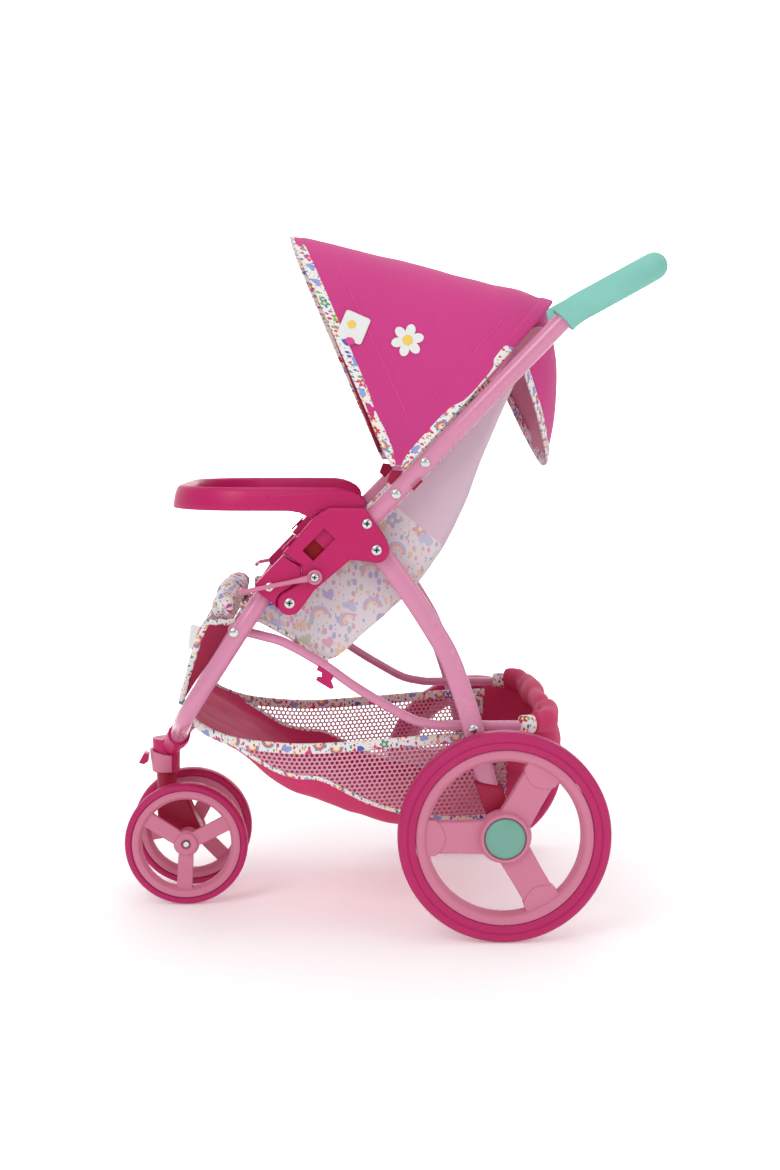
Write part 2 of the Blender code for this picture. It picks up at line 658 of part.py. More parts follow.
def build_rear_leg(side, sign):
    """A flattened curved leg with its pivot hole, and the moulded foot that carries the axle."""
    path = smooth_path(rear_leg_path(sign), 2)
    leg = tube_mesh(path, 9.0, 3, 11.0 / 18.0, sign * REAR_LEG_Y)
    holes = [drum_mesh(p, PIN_HOLE_R, *side_range(sign, 110, 160), 12) for p in (REAR_PIVOT, RAIL_STOP)]
    place(f"rear_leg_{side}", cut(leg, *holes), "paint_pink")
    boss = drum_mesh(REAR_AXLE, 13.0, *side_range(sign, 125.5, 141.5), 24)
    collar = slab_mesh([(72.0, 137.0), (97.0, 132.0), (106.0, 98.0), (88.0, 92.0)],
                       *side_range(sign, 125.5, 141.5), 1.5)
    socket = tube_mesh(path, 9.0 + GAP, 3, (11.0 + 0.6) / 18.6, sign * REAR_LEG_Y)
    axle = drum_mesh(REAR_AXLE, 3.3, *side_range(sign, 110, 160), 16)
    place(f"axle_foot_{side}", cut(join(boss, collar), socket, axle), "plastic_deep", 35)


def build_rear_axle():
    place("rear_axle", drum_mesh(REAR_AXLE, 3.0, -WHEEL_Y - 6.8, WHEEL_Y + 6.8, 16), "steel")


# ---- basket rail --------------------------------------------------------------------------------

RAIL_POINTS = [(-134.0, 268.0), (-112.0, 262.8), (-91.3, 256.4), (-60.7, 239.1), (-30.8, 217.8),
               (-1.3, 199.6), (21.4, 187.6), (44.0, 183.0)]
RAIL_END_X = 142.0
RAIL_Z = 182.6


def build_rail():
    """One rod: up each side from the front legs, level past the rear legs and round behind."""
    side = smooth_path([Vector((x, -RAIL_Y, z)) for x, z in RAIL_POINTS], 2)
    bend = [(44.0, -RAIL_Y, 183.0), (RAIL_END_X, -RAIL_Y, RAIL_Z), (RAIL_END_X, 0, RAIL_Z)]
    corner = rounded_path(bend, [34])
    near = side + corner[1:-1]
    path = near + list(reversed(mirror_y(near)))
    rod = tube_mesh(path, RAIL_R, 1)
    eyes = [drum_mesh(RAIL_PIVOT, 6.4, *side_range(sign, RAIL_Y - 3.6, RAIL_Y + 3.9), 20)
            for sign in SIDES.values()]
    holes = [drum_mesh(RAIL_PIVOT, PIN_HOLE_R, *side_range(sign, 110, 140), 12) for sign in SIDES.values()]
    place("basket_rail", cut(join(rod, *eyes), *holes), "paint_pink")


def build_rail_hook(side, sign):
    """The moulded cleat under a rail that catches the folded frame."""
    outline = [(-62.0, 238.0), (-48.0, 229.0), (-51.6, 223.0), (-49.2, 217.0), (-51.6, 215.8), (-64.6, 223.8),
               (-63.6, 226.4), (-59.6, 225.8), (-59.8, 230.6), (-64.0, 232.6)]
    block = slab_mesh(outline, *side_range(sign, 118.6, 125.4), 0.6)
    side_path = smooth_path([Vector((x, sign * RAIL_Y, z)) for x, z in RAIL_POINTS], 2)
    groove = tube_mesh(side_path, RAIL_R + GAP, 1)
    place(f"rail_hook_{side}", cut(block, groove), "plastic_magenta", 30)


# ---- soft goods, plain solids of the right outer shape ------------------------------------------


def lerp_line(points, x):
    """The height at x on a line of (x, z) points whose x rises."""
    for (x0, z0), (x1, z1) in zip(points, points[1:]):
        if x <= x1:
            return z0 + (z1 - z0) * max(0.0, (x - x0) / (x1 - x0))
    return points[-1][1]


BASKET_RIM = [(-170.0, 181.0), (-143.0, 170.5), (-121.0, 168.0), (-76.0, 165.5), (-20.0, 168.5),
              (58.0, 173.0), (104.0, 174.0), (136.0, 174.5)]
BASKET_FLOOR = [(-170.0, 172.0), (-143.0, 160.0), (-121.0, 142.0), (-84.0, 116.0), (-30.0, 97.0),
                (12.0, 87.0), (66.0, 86.0), (104.0, 104.0), (136.0, 146.0)]
BASKET_HALF = [(-170.0, 106.0), (-143.0, 110.0), (-76.0, 113.0), (80.0, 114.0), (110.0, 112.0), (136.0, 88.0)]


def build_basket():
    """A hammock of cloth and mesh, open on top, hung below the rail."""
    rows = []
    for x in (-170, -157, -143, -121, -100, -76, -46, -16, 14, 44, 74, 98, 118, 136):
        rim = lerp_line(BASKET_RIM, x)
        floor = lerp_line(BASKET_FLOOR, x)
        half = lerp_line(BASKET_HALF, x)
        drop = rim - floor
        left = [(x, -half, rim), (x, -half * 0.99, rim - drop * 0.35), (x, -half * 0.95, rim - drop * 0.7),
                (x, -half * 0.82, rim - drop * 0.93), (x, -half * 0.5, floor), (x, 0.0, floor - 0.5)]
        rows.append(left + [(p[0], -p[1], p[2]) for p in reversed(left[:-1])])
    place("basket", shell_mesh(rows, 2.6), "basket_cloth", 60)


SEAT_TOP_LINE = [(108.0, 490.0), (82.0, 463.0), (56.0, 436.0), (28.0, 407.0), (0.0, 378.0), (-24.0, 353.0),
                 (-46.0, 330.0), (-68.0, 312.0), (-90.0, 300.0), (-112.0, 293.0), (-128.0, 290.0)]
SEAT_LOW_LINE = [(110.0, 484.0), (95.0, 450.0), (80.0, 414.0), (66.0, 380.0), (48.0, 345.0), (24.0, 311.0),
                 (-4.0, 285.0), (-34.0, 266.0), (-62.0, 262.5), (-92.0, 268.0), (-122.0, 276.5)]


def build_seat():
    """The sling: a cloth trough hung between the frame's two sides."""
    rows = []
    for (top_x, top_z), (low_x, low_z) in zip(SEAT_TOP_LINE, SEAT_LOW_LINE):
        across = [(0.0, 118.6), (0.35, 117.0), (0.72, 112.0), (0.94, 98.0), (1.0, 60.0), (1.0, 0.0)]
        left = [(top_x + (low_x - top_x) * t, -y, top_z + (low_z - top_z) * t) for t, y in across]
        rows.append(left + [(p[0], -p[1], p[2]) for p in reversed(left[:-1])])
    place("seat_sling", shell_mesh(rows, 3.0), "seat_cloth", 60)


def oval_outline(centre, half_x, half_z, count=16):
    return [(centre[0] + half_x * math.cos(2 * math.pi * i / count),
             centre[1] + half_z * math.sin(2 * math.pi * i / count)) for i in range(count)]


def build_seat_roll():
    """The padded front edge of the seat, a soft bolster across the legs."""
    oval = oval_outline((-143.5, 285.0), 12.8, 12.5)
    place("seat_roll", slab_mesh(oval, -117.0, 117.0, 2.5), "seat_cloth", 50)


def build_leg_panel():
    """The cloth calf panel in front of the legs, its two side gussets folded back to them."""
    rows = []
    levels = ((-163.0, 271.0, 17.0), (-171.0, 248.0, 13.0), (-178.5, 224.0, 8.0), (-185.0, 203.0, 3.6))
    for x, z, depth in levels:
        left = [(x + depth, -117.5, z), (x + 3.0, -117.0, z), (x, -112.0, z), (x, -60.0, z), (x, 0.0, z)]
        rows.append(left + [(p[0], -p[1], p[2]) for p in reversed(left[:-1])])
    place("leg_panel", shell_mesh(rows, 2.6), "basket_cloth", 60)


# ---- canopy -------------------------------------------------------------------------------------

CANOPY_FRONT_DEG = 113.3
CANOPY_REAR_DEG = 62.5
CANOPY_BACK_DEG = 47.5
CANOPY_HALF = 141.0
RIDGE_FRONT = (-65.5, 618.0)
RIDGE_REAR = (92.0, 569.0)
RIDGE_BACK = (150.0, 558.0)


def ridge_radius(angle_deg):
    """Distance from the canopy pivot to the ridge line, in the direction of that angle."""
    angle = math.radians(angle_deg)
    direction = (math.cos(angle), math.sin(angle))
    start, end = (RIDGE_FRONT, RIDGE_REAR) if angle_deg >= CANOPY_REAR_DEG else (RIDGE_REAR, RIDGE_BACK)
    along_x, along_z = end[0] - start[0], end[1] - start[1]
    off_x, off_z = start[0] - CANOPY_PIVOT[0], start[1] - CANOPY_PIVOT[1]
    cross = direction[0] * along_z - direction[1] * along_x
    return (off_x * along_z - off_z * along_x) / cross


def bow_points(angle_deg, half, reach, base, count=7):
    """An arch in the plane that leans at that angle: upright sides, rounded shoulders, crowned top."""
    angle = math.radians(angle_deg)
    result = []
    for i in range(count + 1):
        t = math.pi / 2 * i / count
        y = -half * math.cos(t) ** 0.42
        radius = base + (reach - base) * math.sin(t) ** 0.72
        x = CANOPY_PIVOT[0] + radius * math.cos(angle)
        result.append((x, y, CANOPY_PIVOT[1] + radius * math.sin(angle)))
    return result + [(x, -y, z) for x, y, z in reversed(result[:-1])]


def build_canopy():
    """The hood: cloth fanned from the front bow over the rear bow to its back edge."""
    angles = [CANOPY_FRONT_DEG, 104, 94, 84, 73, CANOPY_REAR_DEG, 55, CANOPY_BACK_DEG]
    rows = [bow_points(a, CANOPY_HALF, ridge_radius(a), 9.0) for a in angles]
    place("canopy_cover", shell_mesh(rows, 2.4), "canopy_cloth", 60)
    bows = (("canopy_bow_front", CANOPY_FRONT_DEG - 1.2, 14.0), ("canopy_bow_rear", CANOPY_REAR_DEG, 20.0))
    for name, angle, base in bows:
        arch = [Vector(p) for p in bow_points(angle, CANOPY_HALF - 5.2, ridge_radius(angle) - 5.2, base, 8)]
        place(name, tube_mesh(arch, 1.8, 1), "plastic_deep")


def build_canopy_flap():
    """The curtain behind the seat back, bowed to the rear, hung from the canopy's back edge."""
    rows = []
    for share, x, z in ((0.0, 150.0, 550.0), (0.25, 156.0, 520.0), (0.5, 158.5, 490.0), (0.75, 157.0, 460.0),
                        (1.0, 151.0, 428.0)):
        row = []
        for i in range(9):
            v = -1.0 + i / 4.0
            lift = 62.0 * share * abs(v) ** 2.2
            back = 38.0 * abs(v) ** 2.6 * (0.25 + 0.75 * share)
            row.append((x - back, 116.0 * v, z + lift - 12.0 * (1 - share) * abs(v) ** 3))
        rows.append(row)
    place("canopy_flap", shell_mesh(rows, 2.4), "canopy_cloth", 60)


def build_canopy_clip(side, sign):
    """The moulded clip on a push tube that holds the bows' ends."""
    outline = [(-3.4, 396.6), (2.4, 390.6), (9.4, 397.4), (8.6, 404.8), (0.2, 405.8)]
    block = slab_mesh(outline, *side_range(sign, 128.6, 134.6), 0.5)
    tube = tube_mesh(on_side([TUBE_FOOT, TUBE_BEND], sign), TUBE_R + GAP, 3)
    place(f"canopy_clip_{side}", cut(block, tube), "plastic_deep", 30)


# ---- assembly -----------------------------------------------------------------------------------

build_push_handle()
build_tray()
build_yoke()
build_head_cover()
build_swivel_lock()
build_caster()
build_rear_axle()
build_rail()
build_basket()
build_seat()
build_seat_roll()
build_leg_panel()
build_canopy()
build_canopy_flap()
for side_name, side_sign in SIDES.items():
    build_housing(side_name, side_sign)
    build_lock_slider(side_name, side_sign)
    build_bail(side_name, side_sign)
    build_leg_bracket(side_name, side_sign)
    build_front_leg(side_name, side_sign)
    build_rear_leg(side_name, side_sign)
    build_rear_wheel(side_name, side_sign)
    build_front_wheel(side_name, side_sign)
    build_rail_hook(side_name, side_sign)
    build_canopy_clip(side_name, side_sign)
    build_screw(f"fold_pin_{side_name}", FOLD_PIVOT, side_sign, 122.0, HOUSING_OUT + GAP, PIN_R)
    build_screw(f"rear_pin_{side_name}", REAR_PIVOT, side_sign, 122.0, HOUSING_OUT + GAP, PIN_R)
    build_screw(f"rail_rivet_{side_name}", RAIL_PIVOT, side_sign, 117.0, FRAME_Y + LEG_R + GAP, PIN_R, 4.2)
    build_screw(f"leg_rivet_{side_name}", RAIL_STOP, side_sign, 127.8, 139.4, PIN_R, 4.2, 1.4)
    build_screw(f"bail_screw_{side_name}", BAIL_PIVOT, side_sign, 147.4, 154.8, 2.0, 3.6, 1.4)
    build_screw(f"housing_screw_{side_name}", HOUSING_SCREW, side_sign, 144.0, HOUSING_OUT + GAP, 1.6, 4.4)
    build_screw(f"bracket_screw_{side_name}", BRACKET_SCREW, side_sign, 138.0, HOUSING_OUT + GAP, 1.6, 4.0)
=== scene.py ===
"""Looks of the doll's stroller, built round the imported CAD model. Shapes are drawn in millimetres."""

import json
import math

import bmesh
import bpy
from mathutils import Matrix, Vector, noise
from mathutils.bvhtree import BVHTree


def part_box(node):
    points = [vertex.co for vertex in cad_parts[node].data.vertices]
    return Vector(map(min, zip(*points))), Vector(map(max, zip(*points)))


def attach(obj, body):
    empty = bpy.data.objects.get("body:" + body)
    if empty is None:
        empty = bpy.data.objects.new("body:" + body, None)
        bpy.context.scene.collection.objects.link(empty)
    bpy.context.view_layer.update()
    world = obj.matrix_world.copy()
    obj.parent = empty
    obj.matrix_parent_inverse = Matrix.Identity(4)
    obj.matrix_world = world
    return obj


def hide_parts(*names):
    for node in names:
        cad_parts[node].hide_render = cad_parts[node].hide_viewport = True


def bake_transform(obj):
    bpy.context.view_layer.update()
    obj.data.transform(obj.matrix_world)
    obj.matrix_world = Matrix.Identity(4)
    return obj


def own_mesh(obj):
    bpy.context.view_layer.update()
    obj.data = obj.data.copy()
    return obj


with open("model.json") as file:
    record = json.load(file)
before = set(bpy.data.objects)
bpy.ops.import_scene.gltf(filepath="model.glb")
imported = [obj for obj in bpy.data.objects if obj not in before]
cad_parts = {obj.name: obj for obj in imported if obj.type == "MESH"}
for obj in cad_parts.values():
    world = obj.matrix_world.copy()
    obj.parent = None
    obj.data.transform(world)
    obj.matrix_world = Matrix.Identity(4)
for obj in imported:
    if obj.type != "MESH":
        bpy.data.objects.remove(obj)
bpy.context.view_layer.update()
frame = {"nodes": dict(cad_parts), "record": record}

MM = 0.001
SIDES = {"left": -1.0, "right": 1.0}
FRAME_Y = 135.0
REAR_LEG_Y = 133.5
RAIL_Y = 122.0
REAR_AXLE = (97.0, 92.0)
FRONT_AXLE = (-187.0, 57.0)
REAR_MID = 153.0
FRONT_MID = 33.0
CANOPY_PIVOT = (4.0, 400.0)


# ---- materials ----------------------------------------------------------------------------------


class Look:
    """One procedural material: its nodes, made by short calls."""

    def __init__(self, name, colour, roughness, metallic=0.0):
        self.material = bpy.data.materials.new(name)
        self.material.use_nodes = True
        self.tree = self.material.node_tree
        self.shader = self.tree.nodes["Principled BSDF"]
        self.base = (*colour, 1.0)
        self.shader.inputs["Base Color"].default_value = self.base
        self.shader.inputs["Roughness"].default_value = roughness
        self.shader.inputs["Metallic"].default_value = metallic

    def node(self, kind, inputs=None, **settings):
        made = self.tree.nodes.new("ShaderNode" + kind)
        for key, value in settings.items():
            setattr(made, key, value)
        for key, value in (inputs or {}).items():
            self.feed(made.inputs[key], value)
        return made

    def feed(self, socket, value):
        if isinstance(value, bpy.types.NodeSocket):
            self.tree.links.new(value, socket)
        else:
            socket.default_value = value

    def math(self, operation, a, b=0.0):
        return self.node("Math", {0: a, 1: b}, operation=operation).outputs[0]

    def mix(self, share, a, b):
        made = self.node("Mix", data_type="RGBA")
        for index, value in ((0, share), (6, a), (7, b)):
            self.feed(made.inputs[index], value)
        return made.outputs[2]

    def place(self):
        return self.node("TexCoord").outputs["Object"]

    def cloth(self):
        return self.node("UVMap", uv_map="cloth").outputs["UV"]

    def noise(self, where, scale, detail=3.0):
        return self.node("TexNoise", {"Vector": where, "Scale": scale, "Detail": detail}).outputs["Fac"]

    def ranged(self, value, low, high):
        return self.node("MapRange", {"Value": value, "To Min": low, "To Max": high}).outputs["Result"]

    def set(self, name, value):
        self.feed(self.shader.inputs[name], value)

    def bump(self, height, distance, strength, under=None):
        made = self.node("Bump", {"Height": height, "Distance": distance, "Strength": strength})
        if under is not None:
            self.feed(made.inputs["Normal"], under)
        return made.outputs["Normal"]


EDGE_ROUNDING = 0.0008
CANVAS_PITCH = 0.0011
COTTON_PITCH = 0.0009


def darker(colour, share):
    """The colour times a share, which may be over 1, as a shader's four numbers."""
    return (*[c * share for c in colour], 1.0)


def moulded(name, colour, roughness):
    """Injection-moulded plastic: faint mottling, a fine satin grain and softened edges."""
    look = Look(name, colour, roughness)
    where = look.place()
    broad = look.noise(where, 18.0, 2.0)
    look.set("Base Color", look.mix(broad, darker(colour, 0.94), darker(colour, 1.05)))
    look.set("Roughness", look.ranged(look.noise(where, 90.0), roughness - 0.06, roughness + 0.08))
    edge = look.node("Bevel", {"Radius": EDGE_ROUNDING}, samples=4).outputs["Normal"]
    look.set("Normal", look.bump(look.noise(where, 1600.0, 2.0), 0.00006, 0.25, edge))
    look.set("Specular IOR Level", 0.36)
    return look.material


def enamel(name, colour):
    """Gloss paint on steel tube, with a trace of orange peel."""
    look = Look(name, colour, 0.26)
    where = look.place()
    look.set("Base Color", look.mix(look.noise(where, 12.0, 2.0), darker(colour, 0.97), darker(colour, 1.03)))
    look.set("Roughness", look.ranged(look.noise(where, 60.0), 0.2, 0.32))
    look.set("Normal", look.bump(look.noise(where, 420.0, 1.0), 0.0001, 0.12))
    look.set("Coat Weight", 0.35)
    look.set("Coat Roughness", 0.12)
    return look.material


def foam(name, colour, roughness, cells, depth):
    """Closed-cell foam or foam rubber: a fine pitted skin with faint scuffs."""
    look = Look(name, colour, roughness)
    where = look.place()
    look.set("Base Color", look.mix(look.noise(where, 35.0), darker(colour, 0.9), darker(colour, 1.06)))
    look.set("Roughness", look.ranged(look.noise(where, 140.0), roughness - 0.08, roughness + 0.08))
    pits = look.node("TexVoronoi", {"Vector": where, "Scale": cells}).outputs["Distance"]
    look.set("Normal", look.bump(pits, depth, 0.5))
    look.set("Specular IOR Level", 0.28)
    return look.material


def plated(name, colour, roughness):
    """Bright zinc plating with fine turning marks."""
    look = Look(name, colour, roughness, 1.0)
    where = look.place()
    look.set("Base Color", look.mix(look.noise(where, 500.0), darker(colour, 0.8), darker(colour, 1.1)))
    look.set("Roughness", look.ranged(look.noise(where, 900.0), roughness - 0.07, roughness + 0.12))
    return look.material


def weave_height(look, uv, pitch):
    """A plain weave: two crossed sets of ridges, pitch in metres between threads."""
    split = look.node("SeparateXYZ", {"Vector": uv})
    turns = 2.0 * math.pi / pitch
    a = look.math("SINE", look.math("MULTIPLY", split.outputs["X"], turns))
    b = look.math("SINE", look.math("MULTIPLY", split.outputs["Y"], turns))
    return look.math("MULTIPLY", a, b)


def woven(name, colour, roughness=0.75, spread=0.1):
    """Plain woven cloth: thread ridges, slubs, soft creases and a sheen."""
    look = Look(name, colour, roughness)
    uv = look.cloth()
    where = look.place()
    patches = look.noise(where, 9.0, 4.0)
    threads = look.noise(uv, 900.0, 2.0)
    tone = look.math("ADD", look.math("MULTIPLY", patches, 0.7), look.math("MULTIPLY", threads, 0.3))
    look.set("Base Color", look.mix(tone, darker(colour, 1.0 - spread), darker(colour, 1.0 + spread)))
    creases = look.bump(look.noise(where, 26.0, 3.0), 0.004, 0.18)
    slubs = look.bump(threads, 0.0004, 0.35, creases)
    look.set("Normal", look.bump(weave_height(look, uv, CANVAS_PITCH), 0.00012, 0.5, slubs))
    look.set("Sheen Weight", 0.12)
    look.set("Sheen Roughness", 0.5)
    return look.material


PALETTE = ((0.0, (0.62, 0.03, 0.07)), (0.2, (0.86, 0.42, 0.03)), (0.36, (0.04, 0.33, 0.31)),
           (0.52, (0.09, 0.12, 0.55)), (0.68, (0.72, 0.05, 0.24)), (0.84, (0.25, 0.42, 0.1)))


def ramp(look, value, stops):
    """A stepped colour ramp."""
    made = look.node("ValToRGB", {"Fac": value})
    made.color_ramp.interpolation = "CONSTANT"
    marks = made.color_ramp.elements
    while len(marks) < len(stops):
        marks.new(0.5)
    for mark, (position, colour) in zip(marks, stops):
        mark.position = position
        mark.color = (*colour, 1.0)
    return made.outputs["Color"]


def cells(look, uv, scale, randomness):
    """One layer of scattered cells: place inside the cell, and three random numbers."""
    where = look.node("VectorMath", {0: uv, "Scale": scale}, operation="SCALE").outputs[0]
    grid = look.node("TexVoronoi", {"Vector": where, "Scale": 1.0, "Randomness": randomness},
                     voronoi_dimensions="2D")
    local = look.node("VectorMath", {0: where, 1: grid.outputs["Position"]}, operation="SUBTRACT").outputs[0]
    chance = look.node("SeparateColor", {"Color": grid.outputs["Color"]})
    return local, chance.outputs["Red"], chance.outputs["Green"], chance.outputs["Blue"]


def disc(look, local, x, y, radius):
    """1 inside a disc of the cell."""
    away = look.node("VectorMath", {0: local, 1: (x, y, 0.0)}, operation="DISTANCE").outputs["Value"]
    return look.math("LESS_THAN", away, radius)


def between(look, value, low, high):
    return look.math("MULTIPLY", look.math("GREATER_THAN", value, low), look.math("LESS_THAN", value, high))


def motifs(look, uv, scale, ground):
    """The nursery print: daisies, rainbows, clouds and hearts on one ground, by cell."""
    local, kind, hue, turn = cells(look, uv, scale, 0.72)
    angle = look.ranged(turn, -0.7, 0.7)
    local = look.node("VectorRotate", {"Vector": local, "Angle": angle}, rotation_type="Z_AXIS").outputs[0]
    split = look.node("SeparateXYZ", {"Vector": local})
    x, y = split.outputs["X"], split.outputs["Y"]
    reach = look.node("VectorMath", {0: local}, operation="LENGTH").outputs["Value"]
    bearing = look.math("ARCTAN2", y, x)
    petals = look.math("MULTIPLY", look.math("COSINE", look.math("MULTIPLY", bearing, 5.0)), 0.08)
    daisy = look.math("LESS_THAN", reach, look.math("ADD", petals, 0.25))
    heart_y = look.math("SUBTRACT", look.math("MULTIPLY", y, 1.15),
                        look.math("MULTIPLY", look.math("SQRT", look.math("ABSOLUTE", x)), 0.42))
    heart = look.math("LESS_THAN", look.math("ADD", look.math("MULTIPLY", x, x),
                                             look.math("MULTIPLY", heart_y, heart_y)), 0.05)
    cloud = look.math("MAXIMUM", disc(look, local, -0.16, -0.03, 0.13), disc(look, local, 0.15, -0.04, 0.14))
    cloud = look.math("MAXIMUM", cloud, disc(look, local, 0.0, 0.06, 0.19))
    bow = look.math("MULTIPLY", between(look, reach, 0.14, 0.4), look.math("GREATER_THAN", y, -0.06))
    paint = ramp(look, hue, PALETTE)
    bands = ramp(look, look.ranged(reach, 0.0, 1.0), ((0.0, (0.9, 0.6, 0.12)), (0.22, (0.75, 0.09, 0.2)),
                                                       (0.31, (0.16, 0.36, 0.62))))
    colour = ground
    shapes = ((0.0, 0.3, daisy, paint), (0.3, 0.52, bow, bands), (0.52, 0.74, cloud, (0.3, 0.36, 0.72, 1.0)),
              (0.74, 1.01, heart, paint))
    for low, high, mask, ink in shapes:
        colour = look.mix(look.math("MULTIPLY", mask, between(look, kind, low, high)), colour, ink)
    centre = look.math("MULTIPLY", look.math("LESS_THAN", reach, 0.09), look.math("LESS_THAN", kind, 0.3))
    return look.mix(centre, colour, (0.95, 0.72, 0.2, 1.0))


def specks(look, uv, scale, radius, share, colour, seed):
    """Small dots and dashes scattered over colour; share of the cells carry one."""
    moved = look.node("VectorMath", {0: uv, 1: (seed, seed * 0.7, 0.0)}, operation="ADD").outputs[0]
    local, kind, hue, size = cells(look, moved, scale, 1.0)
    squeezed = look.node("VectorMath", {0: local, 1: (1.0, 0.62, 1.0)}, operation="MULTIPLY").outputs[0]
    away = look.node("VectorMath", {0: squeezed}, operation="LENGTH").outputs["Value"]
    mask = look.math("LESS_THAN", away, look.math("MULTIPLY", look.ranged(size, 0.5, 1.0), radius))
    mask = look.math("MULTIPLY", mask, look.math("LESS_THAN", kind, share))
    return look.mix(mask, colour, ramp(look, hue, PALETTE))


def printed(name, ground, motif_mm, fade=0.0, wash=(0.0, 0.0, 0.0)):
    """Printed cotton. fade mixes the ink back towards wash, as on the cloth's reverse."""
    look = Look(name, ground, 0.8)
    uv = look.cloth()
    colour = specks(look, uv, 1000.0 / (motif_mm * 0.3), 0.3, 0.6, (*ground, 1.0), 0.31)
    colour = motifs(look, uv, 1000.0 / motif_mm, colour)
    colour = specks(look, uv, 1000.0 / (motif_mm * 0.17), 0.24, 0.3, colour, 0.77)
    if fade:
        colour = look.mix(fade, colour, (*wash, 1.0))
    look.set("Base Color", colour)
    creases = look.bump(look.noise(look.place(), 30.0, 3.0), 0.004, 0.15)
    look.set("Normal", look.bump(weave_height(look, uv, COTTON_PITCH), 0.0001, 0.4, creases))
    look.set("Sheen Weight", 0.08)
    return look.material


MAGENTA = moulded("moulded_magenta", (0.53, 0.008, 0.12), 0.38)
DEEP = moulded("moulded_deep", (0.36, 0.004, 0.045), 0.42)
# painted shade: dark red standing for the housing's magenta inner wall in shade behind its window
PAINTED_WALL_SHADE = moulded("moulded_painted_wall_shade", (0.40, 0.0, 0.01), 0.5)
WHEEL_PINK = moulded("moulded_pink", (0.64, 0.205, 0.315), 0.44)
PAINT = enamel("enamel_pink", (0.68, 0.245, 0.40))
TYRE = foam("foam_tyre", (0.50, 0.02, 0.135), 0.5, 700.0, 0.0003)
TYRE_DARK = foam("foam_tyre_inner", (0.36, 0.008, 0.062), 0.55, 700.0, 0.0003)
MINT_FOAM = foam("foam_mint", (0.25, 0.60, 0.52), 0.8, 900.0, 0.0004)
MINT_CAP = moulded("moulded_mint", (0.18, 0.41, 0.33), 0.34)
STEEL = plated("plated_steel", (0.72, 0.73, 0.73), 0.24)
# painted shade: a dark steel colour standing for the shade inside the screws' cross recesses
RECESS_SHADE = plated("recess_painted_shade", (0.10, 0.13, 0.13), 0.5)
CANOPY = woven("canopy_weave", (0.62, 0.034, 0.235))
CANOPY_IN = woven("canopy_lining", (0.74, 0.30, 0.42), 0.8)
BASKET = woven("basket_weave", (0.62, 0.026, 0.13), 0.78)
GUSSET = woven("gusset_weave", (0.36, 0.009, 0.055), 0.78)
PALE = woven("pale_weave", (0.66, 0.48, 0.57), 0.85, 0.06)
NET = woven("net_thread", (0.72, 0.33, 0.44), 0.7, 0.08)
PRINT = printed("print_bright", (0.86, 0.83, 0.80), 15.0)
PRINT_BACK = printed("print_reverse", (0.80, 0.74, 0.76), 22.0, 0.6, (0.68, 0.58, 0.64))
WHITE = woven("white_tape", (0.84, 0.83, 0.82), 0.7, 0.04)
STITCH = woven("thread", (0.72, 0.06, 0.28), 0.7)
SUN = woven("patch_yellow", (0.90, 0.62, 0.10), 0.6)
PAPER = Look("paper", (0.93, 0.93, 0.93), 0.8)
PAPER.set("Emission Color", (1.0, 1.0, 1.0, 1.0))
PAPER.set("Emission Strength", 0.22)


# ---- building blocks ----------------------------------------------------------------------------


def link(name, mesh, materials, sharp=40.0):
    """A named object for a mesh, smooth up to the sharp angle in degrees."""
    mesh.name = name
    thing = bpy.data.objects.new(name, mesh)
    bpy.context.scene.collection.objects.link(thing)
    mesh.materials.clear()
    for material in materials:
        mesh.materials.append(material)
    mesh.shade_smooth()
    mesh.set_sharp_from_angle(angle=math.radians(sharp))
    return thing


def mesh_of(points, faces, uvs=None):
    """Points in millimetres as a mesh in metres, faces out, with its cloth coordinates."""
    mesh = bpy.data.meshes.new("shape")
    mesh.from_pydata([tuple(Vector(p) * MM) for p in points], [], faces)
    if uvs:
        layer = mesh.uv_layers.new(name="cloth")
        for loop in mesh.loops:
            layer.data[loop.index].uv = uvs[loop.vertex_index]
    return mesh


def outward(mesh):
    """The mesh with its faces turned out."""
    bm = bmesh.new()
    bm.from_mesh(mesh)
    bmesh.ops.recalc_face_normals(bm, faces=bm.faces)
    bm.to_mesh(mesh)
    bm.free()
    return mesh


def bake(thing):
    """Apply the piece's modifiers."""
    graph = bpy.context.evaluated_depsgraph_get()
    result = bpy.data.meshes.new_from_object(thing.evaluated_get(graph))
    thing.modifiers.clear()
    thing.data = result
    return thing


def own(thing, body, slot, *nodes):
    """Ride on a body and stand for CAD nodes; the slot is not used."""
    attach(thing, body)
    if nodes:
        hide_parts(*nodes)
    return thing


def merge(name, meshes, materials, sharp=40.0):
    """Several meshes as the shells of one piece."""
    bm = bmesh.new()
    for mesh in meshes:
        bm.from_mesh(mesh)
    bmesh.ops.recalc_face_normals(bm, faces=bm.faces)
    whole = bpy.data.meshes.new(name)
    bm.to_mesh(whole)
    bm.free()
    return link(name, whole, materials, sharp)


def arc_path(points, radii, step=6.0):
    """Corner points joined by straight runs with each corner rounded."""
    points = [Vector(p) for p in points]
    path = [points[0]]
    for before, corner, after, radius in zip(points, points[1:], points[2:], radii):
        back, on = (before - corner).normalized(), (after - corner).normalized()
        bend = math.pi - back.angle(on)
        reach = radius * math.tan(bend / 2)
        centre = corner + (back + on).normalized() * (radius / math.cos(bend / 2))
        start = (corner + back * reach - centre).normalized()
        end = (corner + on * reach - centre).normalized()
        count = max(3, math.ceil(math.degrees(bend) / step))
        path += [centre + start.slerp(end, i / count) * radius for i in range(count + 1)]
    return path + [points[-1]]


def spline(points, pieces=6):
    """A Catmull-Rom curve through the points."""
    points = [Vector(p) for p in points]
    result = [points[0]]
    for i in range(len(points) - 1):
        before, a = points[max(i - 1, 0)], points[i]
        b, after = points[i + 1], points[min(i + 2, len(points) - 1)]
        for k in range(1, pieces + 1):
            t = k / pieces
            result.append(0.5 * (2 * a + (b - before) * t + (2 * before - 5 * a + 4 * b - after) * t * t
                                 + (3 * a - before - 3 * b + after) * t ** 3))
    return result


